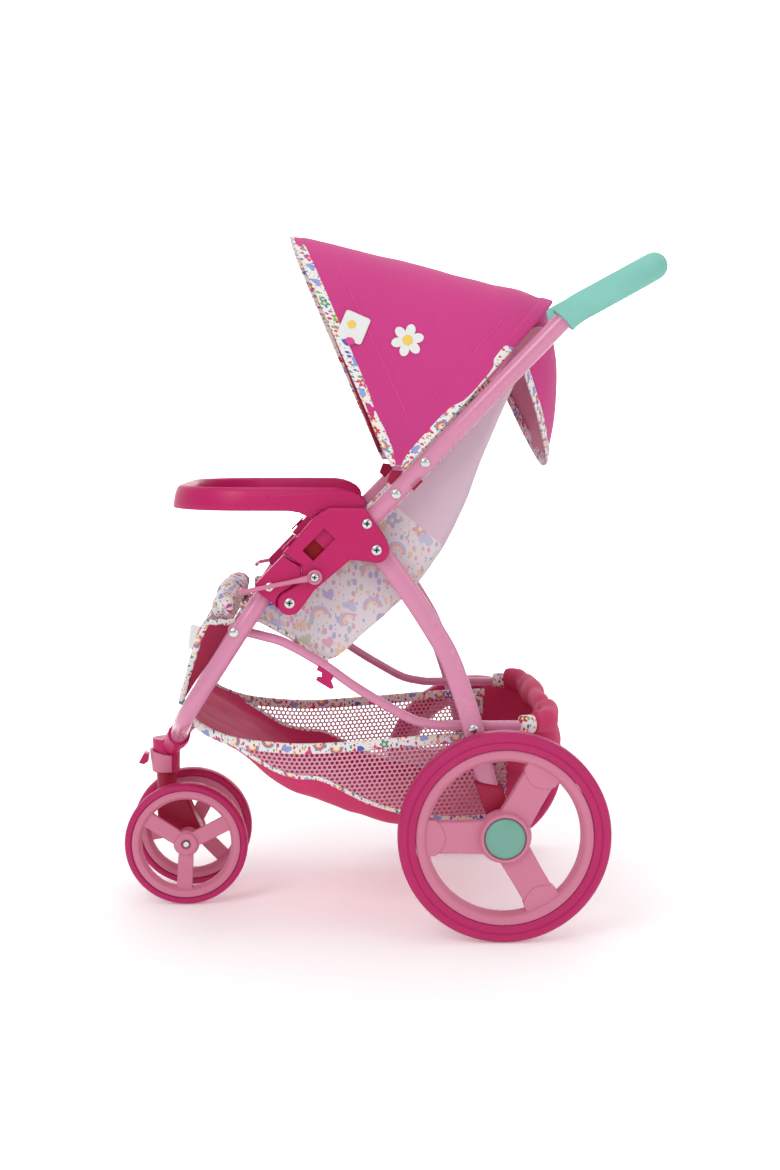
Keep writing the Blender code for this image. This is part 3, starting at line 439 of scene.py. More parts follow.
def resample(points, count):
    """count + 1 points evenly along a polyline."""
    marks = [0.0]
    for a, b in zip(points, points[1:]):
        marks.append(marks[-1] + (b - a).length)
    result, i = [], 0
    for k in range(count + 1):
        want = marks[-1] * k / count
        while i < len(points) - 2 and marks[i + 1] < want:
            i += 1
        span = marks[i + 1] - marks[i]
        result.append(points[i].lerp(points[i + 1], (want - marks[i]) / span if span else 0.0))
    return result


def frames(path, up):
    """Each path point with two unit vectors across the path, carried along without twist."""
    result, side, count = [], None, len(path)
    for i, point in enumerate(path):
        before, after = path[max(i - 1, 0)], path[min(i + 1, count - 1)]
        run = (after - before).normalized()
        side = (Vector(up) if side is None else side)
        side = (side - run * side.dot(run)).normalized()
        result.append((point, side, run.cross(side)))
    return result


def sweep(path, section, up=(0, 1, 0), swell=None):
    """A section of (side, across) offsets carried along a path as a closed solid."""
    points, uvs, run = [], [], 0.0
    ring = len(section)
    around = [0.0]
    for a, b in zip(section, section[1:] + section[:1]):
        around.append(around[-1] + math.dist(a, b))
    for i, (point, side, across) in enumerate(frames(path, up)):
        run += (point - path[i - 1]).length if i else 0.0
        grow = swell(i / (len(path) - 1)) if swell else 1.0
        for k, (a, b) in enumerate(section):
            points.append(point + side * a * grow + across * b * grow)
            uvs.append((run * MM, around[k] * MM))
    faces = []
    rows = len(path)
    for i in range(rows - 1):
        j = i + 1
        for k in range(ring):
            m = (k + 1) % ring
            faces.append((i * ring + k, j * ring + k, j * ring + m, i * ring + m))
    faces.append(tuple(range(ring)))
    faces.append(tuple((rows - 1) * ring + k for k in reversed(range(ring))))
    return outward(mesh_of(points, faces, uvs))


def oval(a, b=None, count=28, power=1.0):
    """A round or oval section."""
    b = a if b is None else b
    result = []
    for i in range(count):
        angle = 2 * math.pi * i / count
        c, s = math.cos(angle), math.sin(angle)
        result.append((a * math.copysign(abs(c) ** power, c), b * math.copysign(abs(s) ** power, s)))
    return result


def tube(path, radius, up=(0, 1, 0), count=28, end=1.2):
    """A round rod with softened ends."""
    first = path[0] - (path[1] - path[0]).normalized() * 0.01
    last = path[-1] + (path[-1] - path[-2]).normalized() * 0.01
    first_in = path[0] + (path[1] - path[0]).normalized() * end
    last_in = path[-1] - (path[-1] - path[-2]).normalized() * end
    whole = [first, first_in, *path[1:-1], last_in, last]
    ends = {0: 1 - 0.5 * end / radius, len(whole) - 1: 1 - 0.5 * end / radius}
    return sweep(whole, oval(radius, count=count), up,
                 lambda t: ends.get(round(t * (len(whole) - 1)), 1.0))


def lathe(profile, centre, middle, sign, steps=96):
    """A closed profile of (radius, outward distance) turned about the line along Y through centre."""
    points, index = [], []
    for k in range(steps):
        angle = 2 * math.pi * k / steps
        for i, (radius, out) in enumerate(profile):
            if radius == 0.0 and k:
                continue
            index.append((k, i))
            points.append((centre[0] + radius * math.cos(angle), sign * (middle + out),
                           centre[1] + radius * math.sin(angle)))
    where = {key: n for n, key in enumerate(index)}

    def at(k, i):
        return where[(0 if profile[i][0] == 0.0 else k % steps, i)]

    faces = []
    count = len(profile)
    for k in range(steps):
        for i in range(count):
            j = (i + 1) % count
            corners = [at(k, i), at(k + 1, i), at(k + 1, j), at(k, j)]
            unique = list(dict.fromkeys(corners))
            if len(unique) > 2:
                faces.append(tuple(unique))
    return outward(mesh_of(points, faces))


def plate(outline, y_low, y_high, bevel=0.0, segments=3):
    """An outline of (x, z) points as a plate between two Y planes with rounded rims."""
    bm = bmesh.new()
    face = bm.faces.new([bm.verts.new(Vector((x, y_low, z)) * MM) for x, z in outline])
    grown = bmesh.ops.extrude_face_region(bm, geom=[face])
    top = [v for v in grown["geom"] if isinstance(v, bmesh.types.BMVert)]
    bmesh.ops.translate(bm, verts=top, vec=(0, (y_high - y_low) * MM, 0))
    if bevel:
        rims = [e for e in bm.edges if abs(e.verts[0].co.y - e.verts[1].co.y) < 1e-7]
        bmesh.ops.bevel(bm, geom=rims, offset=bevel * MM, segments=segments, profile=0.6, affect="EDGES",
                        clamp_overlap=True)
    bmesh.ops.recalc_face_normals(bm, faces=bm.faces)
    mesh = bpy.data.meshes.new("plate")
    bm.to_mesh(mesh)
    bm.free()
    return mesh


def side_span(sign, inner, outer):
    return tuple(sorted((sign * inner, sign * outer)))


def turned_outline(centre, angle_deg, points):
    """Points drawn along a spoke (out, across), set at an angle about a centre."""
    angle = math.radians(angle_deg)
    c, s = math.cos(angle), math.sin(angle)
    return [(centre[0] + a * c - b * s, centre[1] + a * s + b * c) for a, b in points]


def sheet_mesh(rows):
    """A grid of points as cloth, its coordinates measured along its rows and columns."""
    count = len(rows[0])
    middle = count // 2
    points, uvs, down = [], [], 0.0
    for r, row in enumerate(rows):
        if r:
            down += (row[middle] - rows[r - 1][middle]).length
        runs = [0.0]
        for a, b in zip(row, row[1:]):
            runs.append(runs[-1] + (b - a).length)
        for point, run in zip(row, runs):
            points.append(point)
            uvs.append(((run - runs[middle]) * MM, down * MM))
    faces = []
    for r in range(len(rows) - 1):
        for k in range(count - 1):
            a = r * count + k
            faces.append((a, a + 1, a + count + 1, a + count))
    return mesh_of(points, faces, uvs)


def cloth_piece(name, rows, materials, thick=1.0, subdivide=1, inner=0, band=None):
    """A sheet of cloth with a real thickness; band(row, column) names the material of a face."""
    mesh = sheet_mesh(rows)
    if band:
        count = len(rows[0]) - 1
        for polygon in mesh.polygons:
            polygon.material_index = band(polygon.index // count, polygon.index % count)
    thing = bpy.data.objects.new(name, mesh)
    bpy.context.scene.collection.objects.link(thing)
    for material in materials:
        mesh.materials.append(material)
    skin = thing.modifiers.new("skin", "SOLIDIFY")
    skin.thickness = thick * MM
    skin.offset = 0.0
    skin.material_offset = inner
    if subdivide:
        smooth = thing.modifiers.new("smooth", "SUBSURF")
        smooth.levels = smooth.render_levels = subdivide
    bake(thing)
    thing.data.name = name
    thing.data.shade_smooth()
    return thing


def flat_area(rows):
    """The area of a grid of points, in square metres."""
    total = 0.0
    for upper, lower in zip(rows, rows[1:]):
        for k in range(len(upper) - 1):
            a, b, c, d = upper[k], upper[k + 1], lower[k + 1], lower[k]
            total += ((b - a).cross(d - a).length + (b - c).cross(d - c).length) / 2
    return total * MM * MM


def line_length(points):
    return sum((b - a).length for a, b in zip(points, points[1:])) * MM


def hang(rows):
    """Measure a sheet's widest row, longest column and flat area; none of it is kept."""
    width = max(line_length(row) for row in rows)
    length = max(line_length([row[k] for row in rows]) for k in range(len(rows[0])))
    flat_area(rows)


def ripple(point, size, amount, seed=0.0):
    """Soft random relief, in millimetres, at a point."""
    return amount * noise.noise(Vector(point) / size + Vector((seed, seed * 1.7, 0.0)))


def row_normal(rows, r, k):
    """The sheet's normal at a grid point."""
    up, down = rows[max(r - 1, 0)][k], rows[min(r + 1, len(rows) - 1)][k]
    left, right = rows[r][max(k - 1, 0)], rows[r][min(k + 1, len(rows[0]) - 1)]
    normal = (down - up).cross(right - left)
    return normal.normalized() if normal.length else Vector((0, 0, 1))


def ruffled(rows, amount):
    """Rows moved along their normals by amount(r, k, point)."""
    return [[point + row_normal(rows, r, k) * amount(r, k, point) for k, point in enumerate(row)]
            for r, row in enumerate(rows)]


def mirrored(points):
    return [Vector((p[0], -p[1], p[2])) for p in points]


def body_of(node):
    """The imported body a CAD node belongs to."""
    for body, nodes in frame["record"]["behaviour"]["bodies"].items():
        if node in nodes:
            return body
    return "root"


def repaint(node, material):
    for entry in frame["nodes"][node].material_slots:
        entry.material = material


def stand_in(name, meshes, materials, slot, *nodes, body=None, sharp=40.0):
    """A finer piece in place of CAD nodes, riding where they ride."""
    thing = merge(name, meshes, materials, sharp)
    return own(thing, body or body_of(nodes[0]), slot, *nodes)


# ---- frame tubes --------------------------------------------------------------------------------

TUBE_FOOT = Vector((-42.0, -FRAME_Y, 338.6))
TUBE_BEND = Vector((153.0, -FRAME_Y, 539.6))
TUBE_CORNER = Vector((231.0, -FRAME_Y, 582.0))
TUBE_RADII = [60, 52, 52, 60]
TUBE_RADIUS = 8.0
LEG_RADIUS = 7.8
RAIL_RADIUS = 4.2
GRIP_RADIUS = 12.0
GRIP_START = 0.962
LEG_POINTS = ((-96.0, FRAME_Y, 319.0), (-176.5, FRAME_Y, 195.5), (-193.0, 40.0, 158.0))
REAR_LEG_POINTS = ((-12.5, 340.0), (13.8, 304.0), (33.7, 273.7), (49.3, 246.7), (59.5, 220.0), (69.4, 189.8),
                   (75.0, 168.0), (86.0, 124.0))
RAIL_POINTS = ((-134.0, 268.0), (-112.0, 262.8), (-91.3, 256.4), (-60.7, 239.1), (-30.8, 217.8),
               (-1.3, 199.6), (21.4, 187.6), (44.0, 183.0))
RAIL_PIVOT = (-134.0, 268.0)
RAIL_END_X = 142.0
RAIL_Z = 182.6
BAIL_PIVOT = (-64.9, 316.0)
BAIL_BAR = (-128.0, 303.4)
BAIL_Y = 152.2
BAIL_END_Y = 124.0


def handle_path(first):
    near = [first, TUBE_BEND, TUBE_CORNER]
    return arc_path(near + mirrored(near)[::-1], TUBE_RADII, 4.0)


def rail_path():
    side = spline([(x, -RAIL_Y, z) for x, z in RAIL_POINTS], 6)
    x, z = RAIL_POINTS[-1]
    corner = arc_path([(x, -RAIL_Y, z), (RAIL_END_X, -RAIL_Y, RAIL_Z), (RAIL_END_X, 0, RAIL_Z)], [34], 5.0)
    near = side + corner[1:-1]
    return near + mirrored(near)[::-1]


def build_push_frame():
    rod = tube(handle_path(TUBE_FOOT), TUBE_RADIUS, count=36)
    stand_in("push_tube", [rod], [PAINT], "paint_pink", "push_handle")
    mouth = TUBE_FOOT.lerp(TUBE_BEND, GRIP_START)
    path = handle_path(mouth)
    path = [path[0], path[0].lerp(path[1], 0.02), path[0].lerp(path[1], 0.1), *path[1:-1],
            path[-1].lerp(path[-2], 0.1), path[-1].lerp(path[-2], 0.02), path[-1]]
    ends = {0: 0.86, 1: 0.96, len(path) - 1: 0.86, len(path) - 2: 0.96}
    sleeve = sweep(path, oval(GRIP_RADIUS, count=40), (0, 1, 0),
                   lambda t: ends.get(round(t * (len(path) - 1)), 1.0))
    stand_in("foam_sleeve", [sleeve], [MINT_FOAM], "foam_mint", "handle_grip")


def build_front_leg(side, sign):
    points = [(x, sign * y, z) for x, y, z in LEG_POINTS]
    path = arc_path(points, [42.0], 4.0)
    rod = tube(path, LEG_RADIUS, count=36)
    stand_in(f"leg_tube_{side}", [rod], [PAINT], "paint_pink", f"front_leg_{side}")


def build_rear_leg(side, sign):
    path = spline([(x, sign * REAR_LEG_Y, z) for x, z in REAR_LEG_POINTS], 6)
    leg = sweep(path, oval(5.5, 9.0, 40, 0.72), (0, 1, 0))
    stand_in(f"leg_blade_{side}", [leg], [PAINT], "paint_pink", f"rear_leg_{side}", sharp=60)


def build_rail():
    eye = [(2.8, -3.4), (2.8, 3.7), (5.6, 3.7), (6.4, 2.9), (6.4, -2.6), (5.6, -3.4)]
    eyes = [lathe(eye, RAIL_PIVOT, RAIL_Y, sign, 40) for sign in SIDES.values()]
    rod = tube(rail_path(), RAIL_RADIUS, count=24)
    stand_in("rail_rod", [rod, *eyes], [PAINT], "paint_pink", "basket_rail")


def build_bail(side, sign):
    """A wire hook: an eye on the housing, a flattened neck, and an end turned in across the leg."""
    x, z = BAIL_BAR
    eye = Vector((BAIL_PIVOT[0], sign * BAIL_Y, BAIL_PIVOT[1]))
    corner = Vector((x, sign * BAIL_Y, z))
    bent = arc_path([eye.lerp(corner, 0.09), corner, (x, sign * BAIL_END_Y, z)], [4], 8.0)
    path = resample(bent, 40)

    def flat(t):
        return 1.0 + 0.55 * max(0.0, 1.0 - t * 6.0)

    wire = sweep(path, oval(1.9, count=16), (0, 1, 0), flat)
    ring = [(2.9, -1.6), (2.9, 1.2), (4.6, 2.0), (6.2, 1.2), (6.4, 0.0), (6.2, -1.2), (4.6, -1.9)]
    shells = [wire, lathe(ring, BAIL_PIVOT, BAIL_Y, sign, 40)]
    stand_in(f"bail_wire_{side}", shells, [WHEEL_PINK], "plastic_pink", f"lock_bail_{side}")


# ---- tray ---------------------------------------------------------------------------------------

TRAY_SECTION = (  # each (distance in from the outer edge, z)
    (0.4, 371.6), (0.0, 372.8), (0.6, 377.5), (1.7, 383.0), (3.0, 387.2), (4.4, 389.8), (6.4, 391.3),
    (8.4, 391.0), (10.2, 389.2), (11.2, 386.4), (11.6, 382.0), (11.2, 377.0), (9.6, 373.4), (7.6, 371.6),
    (4.0, 371.0))
TRAY_SHOULDER = (  # the top line where it rounds down on to the housing, each (x, z)
    (-60.0, 391.4), (-48.0, 391.2), (-40.0, 390.0), (-33.0, 387.6), (-27.5, 384.2), (-23.5, 380.0),
    (-21.6, 376.5))
TRAY_LOW, TRAY_DEPTH = 371.0, 20.4


def height_at(line, x):
    """The height of a line of (x, z) points at x."""
    if x <= line[0][0]:
        return line[0][1]
    for (x0, z0), (x1, z1) in zip(line, line[1:]):
        if x <= x1:
            return z0 + (z1 - z0) * (x - x0) / (x1 - x0)
    return line[-1][1]


def smooth_at(line, x):
    """The same, on a smooth curve through the points."""
    if x <= line[0][0]:
        return line[0][1]
    if x >= line[-1][0]:
        return line[-1][1]
    for i in range(len(line) - 1):
        (x0, z0), (x1, z1) = line[i], line[i + 1]
        if x <= x1:
            xa, za = line[max(i - 1, 0)]
            xb, zb = line[min(i + 2, len(line) - 1)]
            slope0 = (z1 - za) / (x1 - xa)
            slope1 = (zb - z0) / (xb - x0)
            t, h = (x - x0) / (x1 - x0), x1 - x0
            return ((2 * t ** 3 - 3 * t * t + 1) * z0 + (t ** 3 - 2 * t * t + t) * h * slope0
                    + (3 * t * t - 2 * t ** 3) * z1 + (t ** 3 - t * t) * h * slope1)
    return line[-1][1]


def tray_plan(inset):
    """The near half of the tray's plan, front middle to rear, drawn inset from its outer edge."""
    half, front, radius = 137.0 - inset, -191.5 + inset, 70.0 - inset
    plan = [(front, -(half - radius) * i / 6) for i in range(6)]
    for i in range(25):
        angle = math.radians(180 + 90 * i / 24)
        plan.append((front + radius + radius * math.cos(angle), -half + radius + radius * math.sin(angle)))
    start = plan[-1][0]
    plan += [(start + (-60 - start) * i / 6, -half) for i in range(1, 7)]
    return plan + [(-60 + 38.4 * i / 16, -half) for i in range(1, 17)]


def build_tray():
    """A deep moulded band whose ends round down on to the housings, with its two lugs."""
    columns = [tray_plan(inset) for inset, _ in TRAY_SECTION]
    stations = len(columns[0])
    points = []
    order = [(k, -1.0) for k in reversed(range(1, stations))] + [(k, 1.0) for k in range(stations)]
    for k, flip in order:
        for column, (inset, z) in zip(columns, TRAY_SECTION):
            x, y = column[k]
            share = (height_at(TRAY_SHOULDER, x) - TRAY_LOW) / TRAY_DEPTH
            points.append((x, y * flip, TRAY_LOW + (z - TRAY_LOW) * share))
    ring = len(TRAY_SECTION)
    faces = []
    for i in range(len(order) - 1):
        for k in range(ring):
            m = (k + 1) % ring
            faces.append((i * ring + k, (i + 1) * ring + k, (i + 1) * ring + m, i * ring + m))
    faces.append(tuple(range(ring)))
    faces.append(tuple((len(order) - 1) * ring + k for k in range(ring)))
    band = outward(mesh_of(points, faces))
    lug = [(-104.0, 374.0), (-96.0, 371.4), (-86.0, 371.0), (-78.0, 369.6), (-72.0, 366.6), (-68.6, 363.4),
           (-63.6, 367.8), (-53.0, 374.6), (-21.8, 374.6), (-22.4, 379.0), (-27.0, 384.0), (-33.0, 387.0),
           (-41.0, 388.4), (-104.0, 384.0)]
    lugs = [plate(lug, *side_span(sign, 126.4, 136.6), 1.0) for sign in SIDES.values()]
    stand_in("tray_bow", [band, *lugs], [MAGENTA], "plastic_magenta", "tray", sharp=50)


# ---- wheels -------------------------------------------------------------------------------------


def mirror_profile(half):
    """A profile of (radius, out) drawn on one side, closed through its mirror image."""
    return [*half, *[(r, -out) for r, out in reversed(half)]]


# Each profile is (radius, distance out from the wheel's middle), outer rim first.
TYRE_HALF = ((92.0, 4.4), (91.6, 6.6), (90.4, 8.4), (88.6, 9.5), (86.6, 10.0), (84.6, 9.9), (84.1, 9.1),
             (83.3, 9.0), (82.8, 9.6), (80.0, 9.5), (78.0, 9.0), (76.8, 8.2))
RIM_HALF = ((76.5, 7.4), (75.9, 8.6), (74.8, 9.2), (73.0, 9.4), (70.4, 9.2), (69.0, 8.4), (68.2, 7.0),
            (67.0, 4.6), (66.0, 2.4))


def tone_by_radius(mesh, centre, radius):
    """Give the faces inside a radius the second material."""
    for polygon in mesh.polygons:
        away = math.dist((polygon.center.x, polygon.center.z), (centre[0] * MM, centre[1] * MM))
        polygon.material_index = 1 if away < radius * MM else 0


def collar_outline(centre, angle, half, root, tip):
    """The wider foot of a spoke where it meets the rim, its inner edge dished."""
    points = [(tip, -half - 2.2), (tip, half + 2.2), (root + 2.0, half + 1.4), (root, half)]
    for i in range(1, 10):
        t = i / 10
        points.append((root - 6.5 * math.sin(math.pi * t), half * (1 - 2 * t)))
    points += [(root, -half), (root + 2.0, -half - 1.4)]
    return turned_outline(centre, angle, points)


def build_rear_wheel(side, sign):
    tyre = lathe(mirror_profile(TYRE_HALF), REAR_AXLE, REAR_MID, sign, 144)
    tone_by_radius(tyre, REAR_AXLE, 83.6)
    thing = merge(f"tyre_rear_{side}", [tyre], [TYRE, TYRE_DARK], 30)
    own(thing, f"rear_wheel_{side}", "tyre", f"rear_tyre_{side}")
    shells = [lathe(mirror_profile(RIM_HALF), REAR_AXLE, REAR_MID, sign, 144)]
    hub = [(3.4, 7.0), (18.0, 7.0), (18.0, 9.6), (18.8, 10.4), (20.6, 10.2), (21.6, 9.0), (22.0, 5.0),
           (23.4, 2.0), (23.4, -4.0), (21.5, -7.0), (21.5, -10.0), (3.4, -10.0)]
    shells.append(lathe(hub, REAR_AXLE, REAR_MID, sign, 72))
    for angle in (60, 180, 300):
        arm = turned_outline(REAR_AXLE, angle, [(15, -14.6), (40, -13.8), (69, -14.0), (69, 14.0), (40, 13.8),
                                                (15, 14.6)])
        shells.append(plate(arm, *side_span(sign, REAR_MID - 5.6, REAR_MID + 5.2), 2.0, 4))
        collar = collar_outline(REAR_AXLE, angle, 14.0, 57.5, 68.4)
        shells.append(plate(collar, *side_span(sign, REAR_MID - 6.4, REAR_MID + 6.3), 0.9, 3))
    stand_in(f"rim_rear_{side}", shells, [WHEEL_PINK], "plastic_pink", f"rear_rim_{side}", sharp=35)
    cap = [(0.0, 13.4), (5.0, 13.3), (10.0, 12.8), (14.0, 12.0), (16.4, 11.0), (17.3, 9.8), (17.5, 7.6),
           (0.0, 7.6)]
    dome = lathe(cap, REAR_AXLE, REAR_MID, sign, 72)
    stand_in(f"cap_{side}", [dome], [MINT_CAP], "cap_mint", f"hub_cap_{side}", sharp=50)


FRONT_TYRE_HALF = ((57.0, 3.4), (56.7, 5.2), (55.8, 6.8), (54.4, 7.7), (53.0, 8.0), (51.6, 7.8), (50.8, 6.8))
FRONT_RIM_HALF = ((50.5, 6.0), (50.0, 6.9), (49.0, 7.3), (45.6, 7.2), (44.2, 6.6), (43.4, 5.2), (42.2, 3.0),
                  (41.4, 1.6))


def build_front_wheel(side, sign):
    tyre = lathe(mirror_profile(FRONT_TYRE_HALF), FRONT_AXLE, FRONT_MID, sign, 112)
    tone_by_radius(tyre, FRONT_AXLE, 52.4)
    thing = merge(f"tyre_front_{side}", [tyre], [TYRE, TYRE_DARK], 30)
    own(thing, f"front_wheel_{side}", "tyre", f"front_tyre_{side}")
    shells = [lathe(mirror_profile(FRONT_RIM_HALF), FRONT_AXLE, FRONT_MID, sign, 112)]
    hub = [(2.9, 3.6), (4.4, 3.6), (4.8, 6.4), (8.0, 6.6), (10.0, 5.8), (10.8, 4.0), (12.0, 3.0),
           (12.0, -1.0), (10.5, -3.0), (10.2, -20.8), (2.9, -20.8)]
    shells.append(lathe(hub, FRONT_AXLE, FRONT_MID, sign, 56))
    for angle in ((27, 147, 267) if sign < 0 else (63, 190, 314)):
        arm = turned_outline(FRONT_AXLE, angle, [(8, -6.6), (14, -7.0), (43.6, -7.2), (43.6, 7.2), (14, 7.0),
                                                 (8, 6.6)])
        shells.append(plate(arm, *side_span(sign, FRONT_MID - 1.2, FRONT_MID + 4.0), 1.0, 3))
    stand_in(f"rim_front_{side}", shells, [WHEEL_PINK], "plastic_pink", f"front_rim_{side}", sharp=35)


# ---- fasteners ----------------------------------------------------------------------------------


def cross_recess(head_r, out, sign, centre):
    """The cross in a screw head as two crossed bars let into the dome, painted dark as the shade in a sunk
    recess.
    """
    bars = []
    for wide, tall in ((0.28, 0.92), (0.92, 0.28)):
        w, t = head_r * wide * 0.56, head_r * tall * 0.56
        outline = [(centre[0] + a * w, centre[1] + b * t) for a, b in ((-1, -1), (1, -1), (1, 1), (-1, 1))]
        bars.append(plate(outline, *side_span(sign, out - 1.2, out), 0.0))
    return bars


def build_fastener(node, cross=True):
    """A domed zinc head, with a cross recess where the real one has it."""
    low, high = (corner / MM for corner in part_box(node))
    sign = 1.0 if low.y + high.y > 0 else -1.0
    centre = ((low.x + high.x) / 2, (low.z + high.z) / 2)
    radius = (high.x - low.x) / 2
    outer, inner = (high.y, low.y) if sign > 0 else (-low.y, -high.y)
    rise = 1.9
    dome = [(radius * math.cos(a), outer - rise + rise * math.sin(a)) for a in
            (math.radians(90 * i / 7) for i in range(7))]
    profile = [(0.0, inner), (radius * 0.5, inner), (radius * 0.5, outer - rise),
               (radius * 0.94, outer - rise), *dome, (0.0, outer)]
    head = lathe(profile, centre, 0.0, sign, 40)
    thing = merge(f"fixing_{node}", [head], [STEEL], 30)
    own(thing, body_of(node), "steel", node)
    if cross:
        # painted shade: dark bars for the shade of the cross recess
        mark = merge(f"recess_{node}", cross_recess(radius, outer + 0.06, sign, centre), [RECESS_SHADE], 30)
        own(mark, body_of(node), "steel")


def dome_head(name, centre, side_y, radius, body):
    """A plain rivet head that only scene.py shows."""
    sign, out = math.copysign(1.0, side_y), abs(side_y)
    profile = [(0.0, out - 2.0), (radius, out - 2.0), (radius, out + 0.3), (radius * 0.86, out + 1.2),
               (radius * 0.5, out + 1.9), (0.0, out + 2.1)]
    thing = merge(name, [lathe(profile, centre, 0.0, sign, 36)], [STEEL], 50)
    own(thing, body, "steel")


# ---- hood ---------------------------------------------------------------------------------------

FRONT_DEG, REAR_DEG, BACK_DEG = 113.3, 62.5, 47.5
HOOD_HALF = 141.0
FOOT_RADIUS = 9.0
ARCH_SIDE, ARCH_TOP = 0.42, 0.72
ARCH_STEPS = 72
RIDGE = ((-65.5, 618.0), (92.0, 569.0), (150.0, 558.0))
FRONT_SEAM = ((-46.9, 584.3), (14.1, 449.5))
REAR_SEAM = ((95.6, 532.6), (24.4, 455.5))


def ridge_radius(angle_deg):
    """Distance from the hood's pivot to its ridge line at an angle."""
    angle = math.radians(angle_deg)
    direction = (math.cos(angle), math.sin(angle))
    start, end = (RIDGE[0], RIDGE[1]) if angle_deg >= REAR_DEG else (RIDGE[1], RIDGE[2])
    run = (end[0] - start[0], end[1] - start[1])
    off = (start[0] - CANOPY_PIVOT[0], start[1] - CANOPY_PIVOT[1])
    return (off[0] * run[1] - off[1] * run[0]) / (direction[0] * run[1] - direction[1] * run[0])


def smoothstep(low, high, value):
    t = min(1.0, max(0.0, (value - low) / (high - low)))
    return t * t * (3 - 2 * t)


def hood_point(angle_deg, turn, lift=0.0):
    """A point of the hood: angle about its pivot, and turn from 0 at the near foot to pi at the far one."""
    share = (FRONT_DEG - angle_deg) / (FRONT_DEG - REAR_DEG)
    rest = max(0.0, 1.0 - share)
    belly = 11.0 * rest ** 1.5 + 5.0 * smoothstep(0.0, 0.12, share) * rest ** 4
    sag = belly + 7.0 * math.exp(-(share / 0.045) ** 2)
    tail = smoothstep(1.12, 1.3, share)
    reach = ridge_radius(angle_deg) - sag - 5.0 * tail
    s = max(0.0, math.sin(turn))
    c = math.cos(turn)
    y = -HOOD_HALF * math.copysign(abs(c) ** ARCH_SIDE, c)
    radius = FOOT_RADIUS + (reach + lift - FOOT_RADIUS) * s ** ARCH_TOP
    angle = math.radians(angle_deg)
    return Vector((CANOPY_PIVOT[0] + radius * math.cos(angle), y, CANOPY_PIVOT[1] + radius * math.sin(angle)))


def arch(angle_deg, shift=0.0):
    """One arch of the hood, evenly spaced; shift slides it round the pivot, in millimetres."""
    raw = []
    for i in range(241):
        turn = math.pi * i / 240
        turn = turn - 0.5 * math.sin(2 * turn) * 0.9
        radius = FOOT_RADIUS + (ridge_radius(angle_deg) - FOOT_RADIUS) * max(0.0, math.sin(turn)) ** ARCH_TOP
        move = math.degrees(math.atan2(shift, max(radius, 22.0)))
        raw.append(hood_point(angle_deg + move, turn))
    return resample(raw, ARCH_STEPS)


def seam_distance(point, seam):
    """How far a point lies from a seam, seen from the side."""
    (x0, z0), (x1, z1) = seam
    t = ((point.x - x0) * (x1 - x0) + (point.z - z0) * (z1 - z0)) / ((x1 - x0) ** 2 + (z1 - z0) ** 2)
    t = min(1.0, max(0.0, t))
    return math.hypot(point.x - x0 - t * (x1 - x0), point.z - z0 - t * (z1 - z0))


def hood_relief(point):
    """Soft folds and the drawn-in seams."""
    amount = ripple(point, 55.0, 1.6) + ripple(point, 22.0, 0.5, 3.0)
    if abs(point.y) > 60:
        for seam in (FRONT_SEAM, REAR_SEAM):
            amount -= 1.0 * math.exp(-(seam_distance(point, seam) / 2.2) ** 2)
    return amount


def fold_with_hood(thing, slot, *nodes):
    """Hide the CAD nodes the cloth stands for and bake its placement into its mesh."""
    if nodes:
        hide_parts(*nodes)
    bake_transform(thing)


def sew_on_hood(thing, slot="seat_cloth"):
    fold_with_hood(thing, slot)


def strip(name, edges, material, thick=2.2):
    """A bound edge: a strip between paths, thick enough to enclose the cloth."""
    return cloth_piece(name, edges, [material], thick)


def build_hood():
    steps = 44
    rows = [arch(FRONT_DEG + (BACK_DEG - FRONT_DEG) * i / steps) for i in range(steps + 1)]
    rows = ruffled(rows, lambda r, k, p: hood_relief(p) * smoothstep(0, 3, min(k, ARCH_STEPS - k)))
    cover = cloth_piece("hood_cloth", rows, [CANOPY_IN, CANOPY], 1.0, 1, 1)
    skin = cover.data
    tree = BVHTree.FromPolygons([v.co for v in skin.vertices], [p.vertices for p in skin.polygons])
    fold_with_hood(cover, "canopy_cloth", "canopy_cover")
    front = [arch(FRONT_DEG, shift) for shift in (1.2, -2.0, -5.5, -9.0)]
    sew_on_hood(strip("hood_front_binding", front, PRINT))
    for side, part in (("left", slice(0, 18)), ("right", slice(55, 73))):
        rear = [arch(BACK_DEG, shift)[part] for shift in (-1.2, 1.6, 4.6, 7.6)]
        sew_on_hood(strip(f"hood_rear_binding_{side}", rear, PRINT))
    hem = [arch(BACK_DEG, shift)[17:56] for shift in (-1.4, 2.0, 6.0, 10.0)]
    sew_on_hood(strip("hood_rear_hem", hem, CANOPY, 3.0), "canopy_cloth")
    for side, sign in SIDES.items():
        build_hood_seams(side, sign, tree)
    build_hood_tag(tree)
    build_daisy(tree)
    hang(rows)


def drop_on(tree, x, z, sign, lift=0.0):
    """The point of the hood's outside at (x, z) on one side, lifted off it by lift."""
    hit, normal, _, _ = tree.ray_cast(Vector((x * MM, sign * 0.3, z * MM)), Vector((0, -sign, 0)))
    if hit is None:
        return None
    if normal.y * sign < 0:
        normal = -normal
    return hit / MM + normal * lift


def build_front_bow():
    """The front bow, close under the hood's leading edge."""
    path = []
    for i in range(97):
        spot = hood_point(FRONT_DEG - 2.0, math.pi * (0.004 + 0.992 * i / 96), -6.0)
        spot.y *= 0.963
        path.append(spot)
    stand_in("hood_bow", [tube(resample(path, 80), 1.8, (0, 1, 0), 16, end=0.5)], [DEEP], "plastic_deep",
             "canopy_bow_front")


def draped(tree, sign, lines, lift):
    """Rows of (x, z) laid on the hood; rows that miss it are left out."""
    rows = [[drop_on(tree, x, z, sign, lift) for x, z in line] for line in lines]
    return [row for row in rows if all(p is not None for p in row)]


def line_between(a, b, count):
    return [(a[0] + (b[0] - a[0]) * i / count, a[1] + (b[1] - a[1]) * i / count) for i in range(count + 1)]


